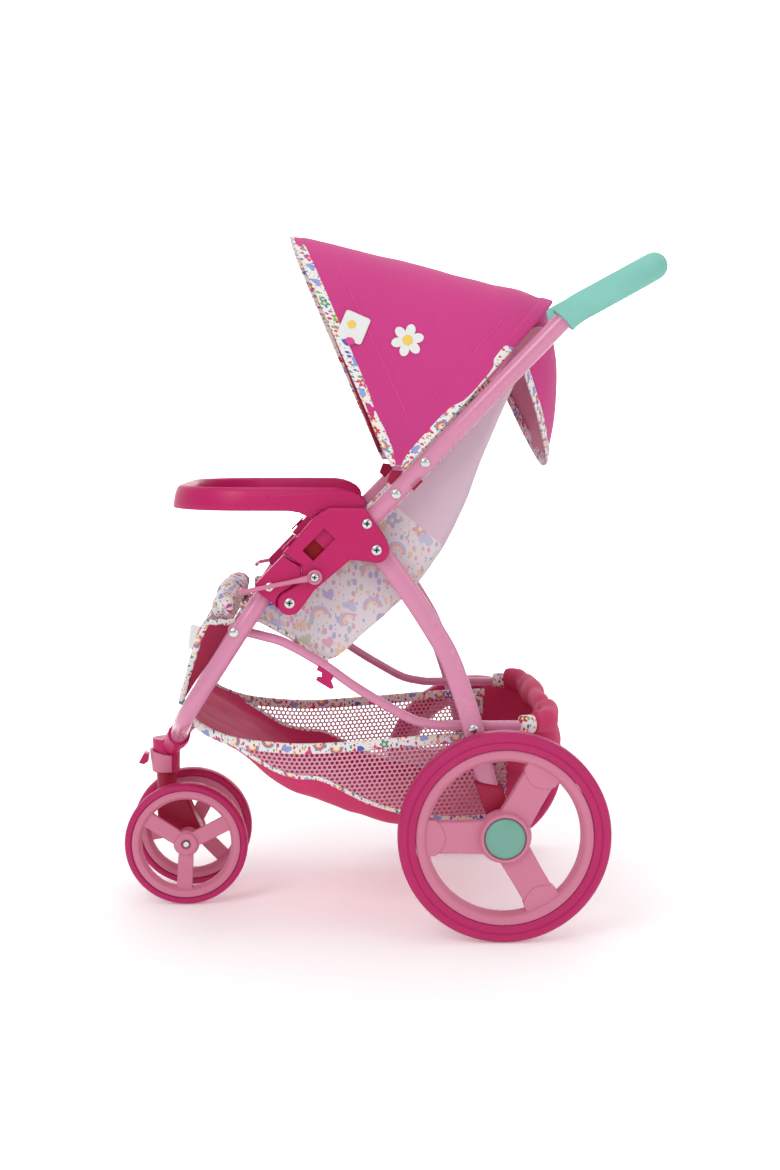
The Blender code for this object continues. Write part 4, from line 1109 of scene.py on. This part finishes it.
def patch_lines(centre, angle, half_long, half_wide, shape, steps=14):
    """Rows for a small patch: shape(u) gives its half-width share at u from -1 to 1."""
    c, s = math.cos(math.radians(angle)), math.sin(math.radians(angle))
    lines = []
    for i in range(steps + 1):
        u = -1.0 + 2.0 * i / steps
        wide = half_wide * shape(u)
        along = (centre[0] + u * half_long * c, centre[1] + u * half_long * s)
        lines.append([(along[0] - v * wide * s, along[1] + v * wide * c)
                      for v in (-1.0, -0.6, -0.2, 0.2, 0.6, 1.0)])
    return lines


def build_hood_seams(side, sign, tree):
    for index, seam in enumerate((FRONT_SEAM, REAR_SEAM)):
        path = [drop_on(tree, x, z, sign, 0.05) for x, z in line_between(*seam, 40)]
        path = [p for p in path if p is not None]
        cord = link(f"hood_seam_{index}_{side}", tube(path, 0.42, count=8, end=0.3), [STITCH])
        sew_on_hood(cord, "canopy_cloth")


def build_hood_tag(tree):
    """A plain white tag over the near front binding, with two plain spots."""
    lean = 67.0
    tag = draped(tree, -1.0, patch_lines((-33.0, 522.0), lean, 16.0, 11.5, lambda u: 1.0, 8), 1.2)
    sew_on_hood(cloth_piece("hood_tag", tag, [WHITE], 0.5))
    for name, centre, long, wide, material in (("a", (-33.0, 528.0), 3.6, 3.6, SUN),
                                               ("b", (-34.5, 514.0), 3.2, 4.2, STITCH)):
        spot = draped(tree, -1.0, patch_lines(centre, lean, long, wide, rounded_share, 10), 1.8)
        sew_on_hood(cloth_piece(f"hood_tag_mark_{name}", spot, [material], 0.3))


def build_daisy(tree):
    """A plain sewn-on daisy: white petals round a yellow middle."""
    centre, reach, petals = (14.0, 515.0), 8.6, 6
    for index in range(petals):
        bearing = 360.0 * index / petals + 12.0
        turn = math.radians(bearing)
        middle = (centre[0] + reach * math.cos(turn), centre[1] + reach * math.sin(turn))
        rows = draped(tree, -1.0, patch_lines(middle, bearing, 5.6, 4.2, rounded_share), 0.7)
        sew_on_hood(cloth_piece(f"daisy_petal_{index}", rows, [WHITE], 0.5))
    rows = draped(tree, -1.0, patch_lines(centre, 0.0, 4.4, 4.4, rounded_share), 1.1)
    sew_on_hood(cloth_piece("daisy_middle", rows, [SUN], 0.6))


def rounded_share(u):
    return max(0.02, math.sqrt(max(0.0, 1.0 - u * u)))


# ---- rear curtain -------------------------------------------------------------------------------

CURTAIN = (  # the middle line from the top down, each (share of the drop, x, z)
    (0.0, 146.0, 552.0), (0.25, 151.0, 520.0), (0.5, 153.5, 485.0), (0.75, 153.0, 446.0), (1.0, 147.0, 406.0))
CURTAIN_HALF = 116.0
SEWN_SHARE = 0.6


def curtain_point(share, v):
    """The curtain at a share of its drop and v from -1 (near edge) to 1."""
    x = smooth_at([(s, x) for s, x, _ in CURTAIN], share)
    z = smooth_at([(s, z) for s, _, z in CURTAIN], share)
    lift = 86.0 * share * abs(v) ** 2.4
    back = 34.0 * abs(v) ** 2.6 * (0.25 + 0.75 * share)
    free = Vector((x - back, CURTAIN_HALF * v, z + lift))
    if share > SEWN_SHARE:
        return free
    turn = math.acos(min(1.0, (CURTAIN_HALF * abs(v) / HOOD_HALF) ** (1 / ARCH_SIDE)))
    sewn = hood_point(BACK_DEG + 1.0, turn, -3.0)
    sewn.y = free.y
    start = Vector((CURTAIN[0][1] - 8.5 * abs(v) ** 2.6, CURTAIN_HALF * v, CURTAIN[0][2]))
    return free + (sewn - start) * (1.0 - smoothstep(0.0, SEWN_SHARE, share))


def build_curtain():
    rows = [[curtain_point(r / 18, -1 + 2 * k / 48) for k in range(49)] for r in range(19)]
    rows = ruffled(rows, lambda r, k, p: ripple(p, 40.0, 2.0) * smoothstep(0, 5, r))
    piece = cloth_piece("curtain_cloth", rows, [CANOPY_IN, CANOPY], 1.0, 1, 1)
    own(piece, "push_frame", "canopy_cloth", "canopy_flap")
    edge = []
    for inset in (-0.012, 0.02, 0.05, 0.08):
        edge.append([curtain_point(1.0 - inset, (-1 + 2 * k / 60)) for k in range(61)])
    edge = ruffled(edge, lambda r, k, p: ripple(p, 40.0, 2.0))
    binding = own(strip("curtain_binding", edge, PRINT), "push_frame", "seat_cloth")
    hang(rows)


# ---- seat ---------------------------------------------------------------------------------------

SEAT = (  # top edge, hem of the side panel, and the line of the seat's back and bottom, each (x, z)
    ((108.0, 490.0), (109.0, 487.0), (110.0, 484.0)), ((82.0, 463.0), (92.0, 453.0), (95.0, 450.0)),
    ((56.0, 436.0), (76.0, 418.0), (80.0, 414.0)), ((28.0, 407.0), (61.0, 381.0), (66.0, 376.0)),
    ((0.0, 378.0), (42.0, 343.0), (47.0, 339.0)), ((-24.0, 353.0), (14.0, 300.0), (20.0, 300.0)),
    ((-46.0, 330.0), (-24.0, 264.0), (-8.0, 279.0)), ((-68.0, 312.0), (-54.0, 239.5), (-36.0, 265.0)),
    ((-90.0, 300.0), (-86.0, 259.5), (-64.0, 262.0)), ((-112.0, 293.0), (-112.0, 274.0), (-94.0, 267.0)),
    ((-130.0, 290.0), (-130.0, 281.0), (-124.0, 274.0)))
PALE_SHARE = 0.4


def curve_at(points, t):
    """A point at share t along a Catmull-Rom curve of (x, z) points."""
    place = t * (len(points) - 1)
    i = min(int(place), len(points) - 2)
    t = place - i
    before, a, b = points[max(i - 1, 0)], points[i], points[i + 1]
    after = points[min(i + 2, len(points) - 1)]
    return [0.5 * (2 * p1 + (p2 - p0) * t + (2 * p0 - 5 * p1 + 4 * p2 - p3) * t * t
                   + (3 * p1 - p0 - 3 * p2 + p3) * t ** 3)
            for p0, p1, p2, p3 in zip(before, a, b, after)]


def seat_section(t):
    """One cross-section of the sling from its near top edge round to the far one."""
    top, hem, low = (curve_at([row[i] for row in SEAT], t) for i in range(3))
    corners = [(top[0], 118.4, top[1])]
    for share, y in ((0.3, 117.6), (0.6, 116.8), (0.85, 116.4), (1.0, 116.0)):
        corners.append((top[0] + (hem[0] - top[0]) * share, y, top[1] + (hem[1] - top[1]) * share))
    drop = Vector((low[0] - hem[0], 0, low[1] - hem[1]))
    for share, y in ((0.45, 113.5), (0.85, 106.0), (1.0, 88.0), (1.03, 50.0), (1.04, 0.0)):
        corners.append((hem[0] + drop.x * share, y, hem[1] + drop.z * share))
    near = [Vector((x, -y, z)) for x, y, z in corners]
    whole = spline(near + mirrored(near[:-1])[::-1], 5)
    return resample(whole, 96)


def build_seat():
    sections = 60
    rows = [seat_section(i / sections) for i in range(sections + 1)]
    rows = ruffled(rows, lambda r, k, p: (ripple(p, 38.0, 2.2) + ripple(p, 15.0, 0.7, 5.0))
                   * smoothstep(8, 28, min(k, len(rows[0]) - 1 - k)))

    def band(r, _):
        return 0 if r / sections < PALE_SHARE else 2

    piece = cloth_piece("seat_cloth_sling", rows, [PALE, PALE, PRINT, PRINT_BACK], 1.0, 1, 1, band=band)
    map_by_facing(piece.data)
    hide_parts("seat_sling")
    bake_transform(piece)
    trim = [edge for side, sign in SIDES.items() for edge in build_seat_edges(side, sign, rows)]
    hang(rows)


def map_by_facing(mesh):
    """Cloth coordinates laid flat on each side panel, and across the back and bottom between them."""
    layer = mesh.uv_layers["cloth"]
    for polygon in mesh.polygons:
        for loop in polygon.loop_indices:
            co = mesh.vertices[mesh.loops[loop].vertex_index].co
            sideways = abs(polygon.normal.y) > 0.7
            layer.data[loop].uv = (co.x, co.z) if sideways else (co.y, co.x * 0.66 + co.z * 0.75)


def build_seat_edges(side, sign, rows):
    """The bound top edge beside the tubes and the bound hem under the side panel."""
    count = len(rows[0])
    top = []
    for inset in (-2.0, 2.5, 7.0):
        line = []
        for row in rows:
            index = 0 if sign < 0 else count - 1
            step = 1 if sign < 0 else -1
            away = (row[index + 4 * step] - row[index]).normalized()
            line.append(row[index] + away * inset + Vector((0, sign * 0.4, 0)))
        top.append(line)
    edge = strip(f"seat_edge_{side}", top, PRINT, 3.0)
    hems = []
    for t in range(70, 101):
        hem = curve_at([row[1] for row in SEAT], t / 100)
        hems.append(Vector((hem[0], sign * 116.9, hem[1])))
    hem_rows = [[p + Vector((0, sign * dy, dz)) for p in hems]
                for dy, dz in ((0.4, 3.6), (0.9, 1.0), (-0.4, -1.4))]
    hem = strip(f"seat_hem_{side}", hem_rows, PRINT, 2.0)
    for piece in (edge, hem):
        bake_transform(piece)
    return edge, hem


ROLL = (-143.5, 285.0)


def build_roll():
    """The padded bolster at the front of the seat, puffed up and crumpled by a cloth simulation."""
    x, z = ROLL
    path = [Vector((x + 1.2 * math.sin(i * 0.9), -115.0 + 230.0 * i / 46, z + 0.6 * math.sin(i * 0.5)))
            for i in range(47)]

    def caps(t):
        return 0.55 + 0.45 * min(1.0, 9.0 * t, 9.0 * (1 - t)) ** 0.5

    mesh = sweep(path, oval(11.0, 11.6, 30), (0, 0, 1), caps)
    thing = link("seat_roll_pad", mesh, [PRINT], 180)
    puff(thing)
    smooth = thing.modifiers.new("smooth", "SUBSURF")
    smooth.levels = smooth.render_levels = 1
    bake(thing)
    lay_cloth_map(thing.data)
    thing.data.shade_smooth()
    own(thing, "front_frame", "seat_cloth", "seat_roll")


def puff(thing):
    """The pad's skin a little too large, held at its ends, blown up, and capped in how far it moves."""
    remesh = thing.modifiers.new("remesh", "REMESH")
    remesh.mode, remesh.voxel_size = "VOXEL", 3.6 * MM
    bake(thing)
    rest = [v.co.copy() for v in thing.data.vertices]
    pins = thing.vertex_groups.new(name="pins")
    pins.add([v.index for v in thing.data.vertices if abs(v.co.y) > 0.111], 1.0, "REPLACE")
    sim = thing.modifiers.new("cloth", "CLOTH")
    settings = sim.settings
    settings.quality = 6
    settings.mass = 0.15
    settings.tension_stiffness = settings.compression_stiffness = 12
    settings.bending_stiffness = 0.05
    settings.use_pressure = True
    settings.uniform_pressure_force = 3.0
    settings.shrink_min = -0.11
    settings.vertex_group_mass = "pins"
    settings.effector_weights.gravity = 0.0
    scene = bpy.context.scene
    sim_frames, limit = 20, 5.0 * MM
    scene.frame_start, scene.frame_end = 1, sim_frames
    sim.point_cache.frame_start, sim.point_cache.frame_end = 1, sim_frames
    for step in range(1, sim_frames + 1):
        scene.frame_set(step)
    bake(thing)
    for vertex, start in zip(thing.data.vertices, rest):
        move = vertex.co - start
        if move.length > limit:
            vertex.co = start + move.normalized() * limit
    scene.frame_set(1)


def lay_cloth_map(mesh):
    """Cloth coordinates round a bolster that lies along Y."""
    layer = mesh.uv_layers.get("cloth") or mesh.uv_layers.new(name="cloth")
    for polygon in mesh.polygons:
        for loop in polygon.loop_indices:
            co = mesh.vertices[mesh.loops[loop].vertex_index].co
            angle = math.atan2(co.z - ROLL[1] * MM, co.x - ROLL[0] * MM)
            layer.data[loop].uv = (co.y, angle * 12 * MM)


# ---- calf panel ---------------------------------------------------------------------------------

CALF = (  # from the top down, each (x of the face, z, depth of the side gusset)
    (-161.0, 273.0, 25.0), (-166.5, 262.0, 23.0), (-173.0, 243.0, 18.0), (-179.0, 224.0, 11.0),
    (-183.0, 208.0, 5.0), (-183.5, 202.0, 3.0))


def calf_row(t):
    """One line across the panel: a gusset back along each leg, and the face between them."""
    x, z, depth = curve_at(CALF, t)
    plan = ((depth, 117.6), (depth * 0.5, 117.8), (2.4, 117.4), (0.0, 114.6), (-0.6, 90.0), (-0.8, 50.0),
            (-1.0, 0.0))
    near = [Vector((x + back, -y, z)) for back, y in plan]
    return resample(spline(near + mirrored(near[:-1])[::-1], 5), 112)


def build_calf_panel():
    rows = [calf_row(i / 24) for i in range(25)]
    width = line_length(rows[0]) / MM

    def band(r, k):
        run = min(k, len(rows[0]) - 2 - k) * width / (len(rows[0]) - 1)
        depth = curve_at(CALF, r / 24)[2]
        return 0 if run < depth - 3.5 else 1

    rows = ruffled(rows, lambda r, k, p: ripple(p, 30.0, 1.8) + ripple(p, 12.0, 0.5, 2.0))
    piece = cloth_piece("calf_cloth", rows, [GUSSET, PRINT], 1.0, 1, 0, band=band)
    own(piece, "front_frame", "basket_cloth", "leg_panel")
    line = [curve_at(CALF, i / 24) for i in range(25)]
    for side, sign in SIDES.items():
        edge = [[Vector((x + a, sign * (118.0 + b), z)) for x, z, _ in line]
                for a, b in ((-0.6, 0.2), (1.8, 1.0), (5.0, 0.7))]
        edge = ruffled(edge, lambda r, k, p: ripple(p, 12.0, 0.8))
        own(strip(f"calf_edge_{side}", edge, PRINT, 2.0), "front_frame", "seat_cloth")
        top = [[Vector((-160.0 + 26.0 * i / 20, sign * (117.8 + b), 274.0 + c + 0.6 * math.sin(i * 0.8)))
                for i in range(21)] for b, c in ((0.2, 2.6), (1.0, 0.4), (0.6, -2.4))]
        own(strip(f"calf_top_{side}", top, PRINT, 2.0), "front_frame", "seat_cloth")
    tag = [[Vector((-163.5 - 11.0 * v - 3.0 * u, -104.0 + 3.0 * v, 268.0 - 22.0 * u + 3.0 * v))
            for v in (0.0, 0.35, 0.7, 1.0)] for u in (0.0, 0.25, 0.5, 0.75, 1.0)]
    own(cloth_piece("calf_tag", tag, [WHITE], 0.5), "front_frame", "seat_cloth")
    hang(rows)


# ---- basket -------------------------------------------------------------------------------------

# Side lines of the basket, each (x, z): its top rim, the net's lower edge and the cloth bottom.
RIM = ((-178.0, 193.0), (-168.0, 184.0), (-155.0, 177.0), (-141.0, 172.0), (-121.0, 168.4), (-76.0, 165.2),
       (-23.0, 168.0), (12.0, 170.6), (60.0, 174.4), (104.0, 176.0))
NET_LOW = ((-178.0, 190.0), (-168.0, 181.5), (-152.0, 174.6), (-147.0, 172.0), (-129.0, 158.4),
           (-102.0, 142.0), (-83.0, 135.5), (-61.0, 133.4), (-39.0, 122.2), (-16.0, 111.4), (10.0, 103.4),
           (50.0, 98.0), (104.0, 100.0))
TROUGH = ((-178.0, 183.0), (-168.0, 174.0), (-145.0, 160.0), (-131.0, 153.0), (-107.0, 132.6), (-86.0, 118.0),
          (-73.0, 112.6), (-31.0, 97.0), (10.0, 88.0), (55.0, 86.0), (104.0, 90.0))
# Its half-width, each (x, y), and its ends.
HALF = ((-178.0, 104.0), (-168.0, 106.0), (-143.0, 110.0), (-76.0, 113.0), (80.0, 114.0), (104.0, 113.0))
SPAN = (-177.0, 104.0)
NET_START, NET_PITCH, NET_CORD = -150, 4.4, 0.5


def net_point(x, down, sign):
    """A point of the side net, down millimetres below the rim."""
    rim = smooth_at(RIM, x)
    share = down / max(8.0, rim - smooth_at(NET_LOW, x))
    bulge = 1.8 * math.sin(math.pi * min(1.0, max(0.0, share))) - 4.0 * share ** 2
    wave = ripple((x, down * 1.2, sign * 50), 34.0, 1.4)
    return Vector((x, sign * (smooth_at(HALF, x) + bulge + wave), rim - down))


def trough_row(x):
    """One line across the cloth bottom, from one net's lower edge to the other's."""
    near_z, floor = smooth_at(NET_LOW, x), smooth_at(TROUGH, x)
    half = smooth_at(HALF, x)
    edge = net_point(x, smooth_at(RIM, x) - near_z, -1.0)
    drop = near_z - floor
    plan = ((0.935, near_z - drop * 0.5), (0.86, near_z - drop * 0.86), (0.7, floor), (0.35, floor - 1.0),
            (0.0, floor - 1.0))
    near = [edge, *[Vector((x, -half * share, z)) for share, z in plan]]
    return resample(spline(near + mirrored(near[:-1])[::-1], 5), 80)


def basket_ride(thing, slot="basket_cloth", *nodes):
    """The basket rides on the rails, each piece with a mesh of its own."""
    own(thing, "rails", slot, *nodes)
    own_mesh(thing)
    return thing


def build_basket():
    stations = [SPAN[0] + (SPAN[1] - SPAN[0]) * i / 60 for i in range(61)]
    rows = [trough_row(x) for x in stations]
    rows = ruffled(rows, lambda r, k, p: (ripple(p, 36.0, 3.0) + ripple(p, 16.0, 0.9, 4.0))
                   * smoothstep(0, 7, min(k, 80 - k)))
    piece = cloth_piece("basket_trough", rows, [BASKET], 1.0, 1)
    basket_ride(piece, "basket_cloth", "basket")
    for side, sign in SIDES.items():
        rim = [[net_point(x, d, sign) for x in stations] for d in (-1.0, 2.4, 5.8, 8.6)]
        basket_ride(strip(f"basket_rim_{side}", rim, PRINT, 2.0), "seat_cloth")
        low = []
        for d in (-2.2, 0.0, 2.0):
            low.append([net_point(x, smooth_at(RIM, x) - smooth_at(NET_LOW, x) + d, sign)
                        + Vector((0, sign * 0.5, 0)) for x in stations if x > NET_START])
        basket_ride(strip(f"basket_seam_{side}", low, PRINT, 1.8), "seat_cloth")
        build_net(side, sign)
        strap = [[net_point(x, d, sign) + Vector((0, -sign * 1.6, 0)) for d in range(4, 78, 4)]
                 for x in (92.0, 97.0, 102.0)]
        basket_ride(strip(f"basket_strap_{side}", strap, PRINT, 1.4), "seat_cloth")
    hang(rows)
    build_basket_end()


def build_net(side, sign):
    """Knitted mesh with true six-sided holes."""
    rise = NET_PITCH * math.sqrt(3) / 2
    bm = bmesh.new()
    for column in range(int((SPAN[1] - NET_START) / NET_PITCH) + 1):
        for line in range(26):
            x = NET_START + column * NET_PITCH + (NET_PITCH / 2 if line % 2 else 0.0)
            down = 6.0 + line * rise
            if x > SPAN[1] - 1 or down > smooth_at(RIM, x) - smooth_at(NET_LOW, x) + 0.5:
                continue
            rings = []
            for size in (1.0, 0.66):
                radius = NET_PITCH / math.sqrt(3) * size
                ring = []
                for i in range(6):
                    angle = math.radians(60 * i + 30)
                    spot = net_point(x + radius * math.cos(angle), down + radius * math.sin(angle), sign)
                    ring.append(bm.verts.new(spot * MM))
                rings.append(ring)
            for i in range(6):
                j = (i + 1) % 6
                bm.faces.new((rings[0][i], rings[0][j], rings[1][j], rings[1][i]))
    bmesh.ops.remove_doubles(bm, verts=bm.verts, dist=0.00005)
    mesh = bpy.data.meshes.new("net")
    bm.to_mesh(mesh)
    bm.free()
    layer = mesh.uv_layers.new(name="cloth")
    for loop in mesh.loops:
        co = mesh.vertices[loop.vertex_index].co
        layer.data[loop.index].uv = (co.x, co.z)
    thing = link(f"basket_net_{side}", mesh, [NET], 180)
    skin = thing.modifiers.new("skin", "SOLIDIFY")
    skin.thickness, skin.offset = NET_CORD * MM, 0.0
    bake(thing)
    return basket_ride(thing)


def plan_path(inset, reach):
    """The rear of the basket in plan, round from the near side to the far one."""
    half = 116.0 - inset
    corner = arc_path([(100.0, -half, 0), (reach, -half, 0), (reach, half, 0), (100.0, half, 0)],
                      [min(36.0, reach - 101.0)] * 2, 5.0)
    return resample(corner, 60)


def build_basket_end():
    """The rear wall, the full sleeve round the rail, and its two printed cuffs."""
    levels = ((150.0, -2.0, 178.0), (153.0, -1.0, 166.0), (151.0, 1.0, 152.0), (144.0, 5.0, 136.0),
              (134.0, 12.0, 118.0), (122.0, 22.0, 102.0), (112.0, 32.0, 92.0))
    rows = []
    for i in range(25):
        reach, inset, z = curve_at(levels, i / 24)
        rows.append([Vector((p.x, p.y, z)) for p in plan_path(inset, reach)])
    rows = ruffled(rows, lambda r, k, p: ripple(p, 26.0, 3.0) + ripple(p, 12.0, 0.8, 1.0))
    piece = cloth_piece("basket_end", rows, [BASKET], 1.0, 1)
    hang(rows)
    basket_ride(piece)
    path = [p for p in rail_path() if p.x > 112.0]
    path = resample([Vector((112.0, -RAIL_Y, RAIL_Z)), *path[1:-1], Vector((112.0, RAIL_Y, RAIL_Z))], 90)
    for name, section, material, low, high in (("basket_sleeve", (8.4, 11.0), BASKET, 4, 86),
                                               ("cuff_left", (6.6, 8.4), PRINT, 0, 5),
                                               ("cuff_right", (6.6, 8.4), PRINT, 85, 90)):
        run = path[low:high + 1]
        mesh = sweep(run, oval(*section, 40), (0, 1, 0))
        for vertex in mesh.vertices:
            co = vertex.co / MM
            near = min(run, key=lambda p: (p - co).length)
            out = (co - near).normalized()
            full = 1.0 if name == "basket_sleeve" else 0.25
            fold = ripple(co, 26.0, 4.4) + ripple((co.x, co.y, co.z * 0.6), 11.0, 1.3, 2.0)
            vertex.co = (co + out * fold * full + Vector((2.0, 0, 4.0)) * full * 0.6) * MM
        thing = link(name, mesh, [material], 180)
        smooth = thing.modifiers.new("smooth", "SUBSURF")
        smooth.levels = smooth.render_levels = 1
        bake(thing)
        thing.data.shade_smooth()
        basket_ride(thing, "basket_cloth" if material is BASKET else "seat_cloth")


# ---- small moulded parts ------------------------------------------------------------------------


def build_small_parts():
    """On each side: two tube rivets, a button on the tube, and the floor of the housing's window, dark red as
    painted shade of the magenta wall inside.
    """
    for side, sign in SIDES.items():
        for index, centre in enumerate(((4.0, 385.8), (28.6, 412.4))):
            dome_head(f"tube_rivet_{index}_{side}", centre, sign * (FRAME_Y + 8.0), 4.4, "push_frame")
        bar = [(17.4, 390.0), (19.2, 388.4), (27.0, 396.6), (25.4, 398.2)]
        button = merge(f"tube_button_{side}", [plate(bar, *side_span(sign, 141.0, 143.4), 0.5)], [DEEP], 30)
        own(button, "push_frame", "plastic_deep")
        c, s = math.cos(math.radians(45.5)), math.sin(math.radians(45.5))
        well = [(-61.4 + a * c - b * s, 343.2 + a * s + b * c)
                for a, b in ((-13.8, -7.0), (13.8, -7.0), (13.8, 7.0), (-13.8, 7.0))]
        sunk = plate(well, *side_span(sign, 136.4, 138.6), 0.3)
        # painted shade: a dark red plate in place of the shaded magenta wall inside the window
        own(merge(f"window_painted_shade_{side}", [sunk], [PAINTED_WALL_SHADE], 30), "push_frame", "plastic_deep")


def paint_moulded():
    """Better materials for the CAD nodes whose shape stays."""
    for kind, material in (("hinge_housing", MAGENTA), ("lock_slider", MAGENTA), ("leg_bracket", MAGENTA),
                           ("rail_hook", MAGENTA), ("axle_foot", DEEP), ("canopy_clip", DEEP)):
        for side in SIDES:
            repaint(f"{kind}_{side}", material)
    for node, material in (("front_yoke", MAGENTA), ("swivel_lock", MAGENTA), ("caster_fork", DEEP),
                           ("head_cover", WHEEL_PINK), ("canopy_bow_rear", DEEP),
                           ("front_axle", STEEL), ("rear_axle", STEEL)):
        repaint(node, material)


# ---- room ---------------------------------------------------------------------------------------


def area_light(name, place, target, size, power):
    lamp = bpy.data.lights.new(name, "AREA")
    lamp.shape, lamp.size, lamp.energy = "DISK", size, power
    thing = bpy.data.objects.new(name, lamp)
    thing.location = place
    thing.rotation_euler = (Vector(target) - Vector(place)).to_track_quat("-Z", "Y").to_euler()
    bpy.context.scene.collection.objects.link(thing)


def build_room():
    """A white sweep of paper: floor, then a wide bend up behind."""
    level, flat_end, radius, top = -0.4, 2200, 1500, 6000
    profile = [Vector((0, -6000, level)), Vector((0, flat_end, level))]
    bend = [Vector((0, flat_end + radius * math.sin(a), level + radius * (1 - math.cos(a))))
            for a in (math.radians(9 * i) for i in range(1, 11))]
    profile += [*bend, Vector((0, flat_end + radius, top))]
    rows = [[p + Vector((x, 0, 0)) for x in (-7000, -2300, 2300, 7000)] for p in profile]
    paper = link("paper_sweep", sheet_mesh(rows), [PAPER.material], 180)
    world = bpy.data.worlds.new("studio")
    bpy.context.scene.world = world
    world.use_nodes = True
    sky = world.node_tree.nodes["Background"]
    sky.inputs["Color"].default_value = (1.0, 1.0, 1.0, 1.0)
    sky.inputs["Strength"].default_value = 0.5
    target = (0.0, 0.0, 0.3)
    area_light("key", (-1.3, -2.2, 2.3), target, 1.6, 27.0)
    area_light("fill", (1.9, -1.9, 1.2), target, 1.8, 9.0)
    area_light("top", (0.2, 0.2, 2.8), target, 1.8, 17.0)
    area_light("back", (0.4, 2.0, 1.6), (0, 3.0, 0.6), 2.0, 60.0)


def build_camera():
    yaw, pitch = math.radians(1.784), math.radians(5.64)
    lens = bpy.data.cameras.new("camera")
    lens.lens, lens.sensor_width = 49.32, 36.0
    camera = bpy.data.objects.new("camera", lens)
    camera.location = (-0.0433, -1.5, 0.4425)
    forward = Vector((math.sin(yaw) * math.cos(pitch), math.cos(yaw) * math.cos(pitch), -math.sin(pitch)))
    camera.rotation_euler = forward.to_track_quat("-Z", "Y").to_euler()
    bpy.context.scene.collection.objects.link(camera)
    bpy.context.scene.camera = camera
    bpy.context.scene.view_settings.view_transform = "Standard"


# ---- assembly -----------------------------------------------------------------------------------

build_push_frame()
build_rail()
build_tray()
for side_name, side_sign in SIDES.items():
    build_front_leg(side_name, side_sign)
    build_rear_leg(side_name, side_sign)
    build_bail(side_name, side_sign)
    build_rear_wheel(side_name, side_sign)
    build_front_wheel(side_name, side_sign)
for kind, crossed in (("fold_pin", True), ("rear_pin", True), ("rail_rivet", False), ("leg_rivet", False),
                      ("bail_screw", True), ("housing_screw", True), ("bracket_screw", True)):
    for side_name in SIDES:
        build_fastener(f"{kind}_{side_name}", crossed)
build_hood()
build_front_bow()
build_curtain()
build_seat()
build_roll()
build_calf_panel()
build_basket()
build_small_parts()
paint_moulded()
build_room()
build_camera()
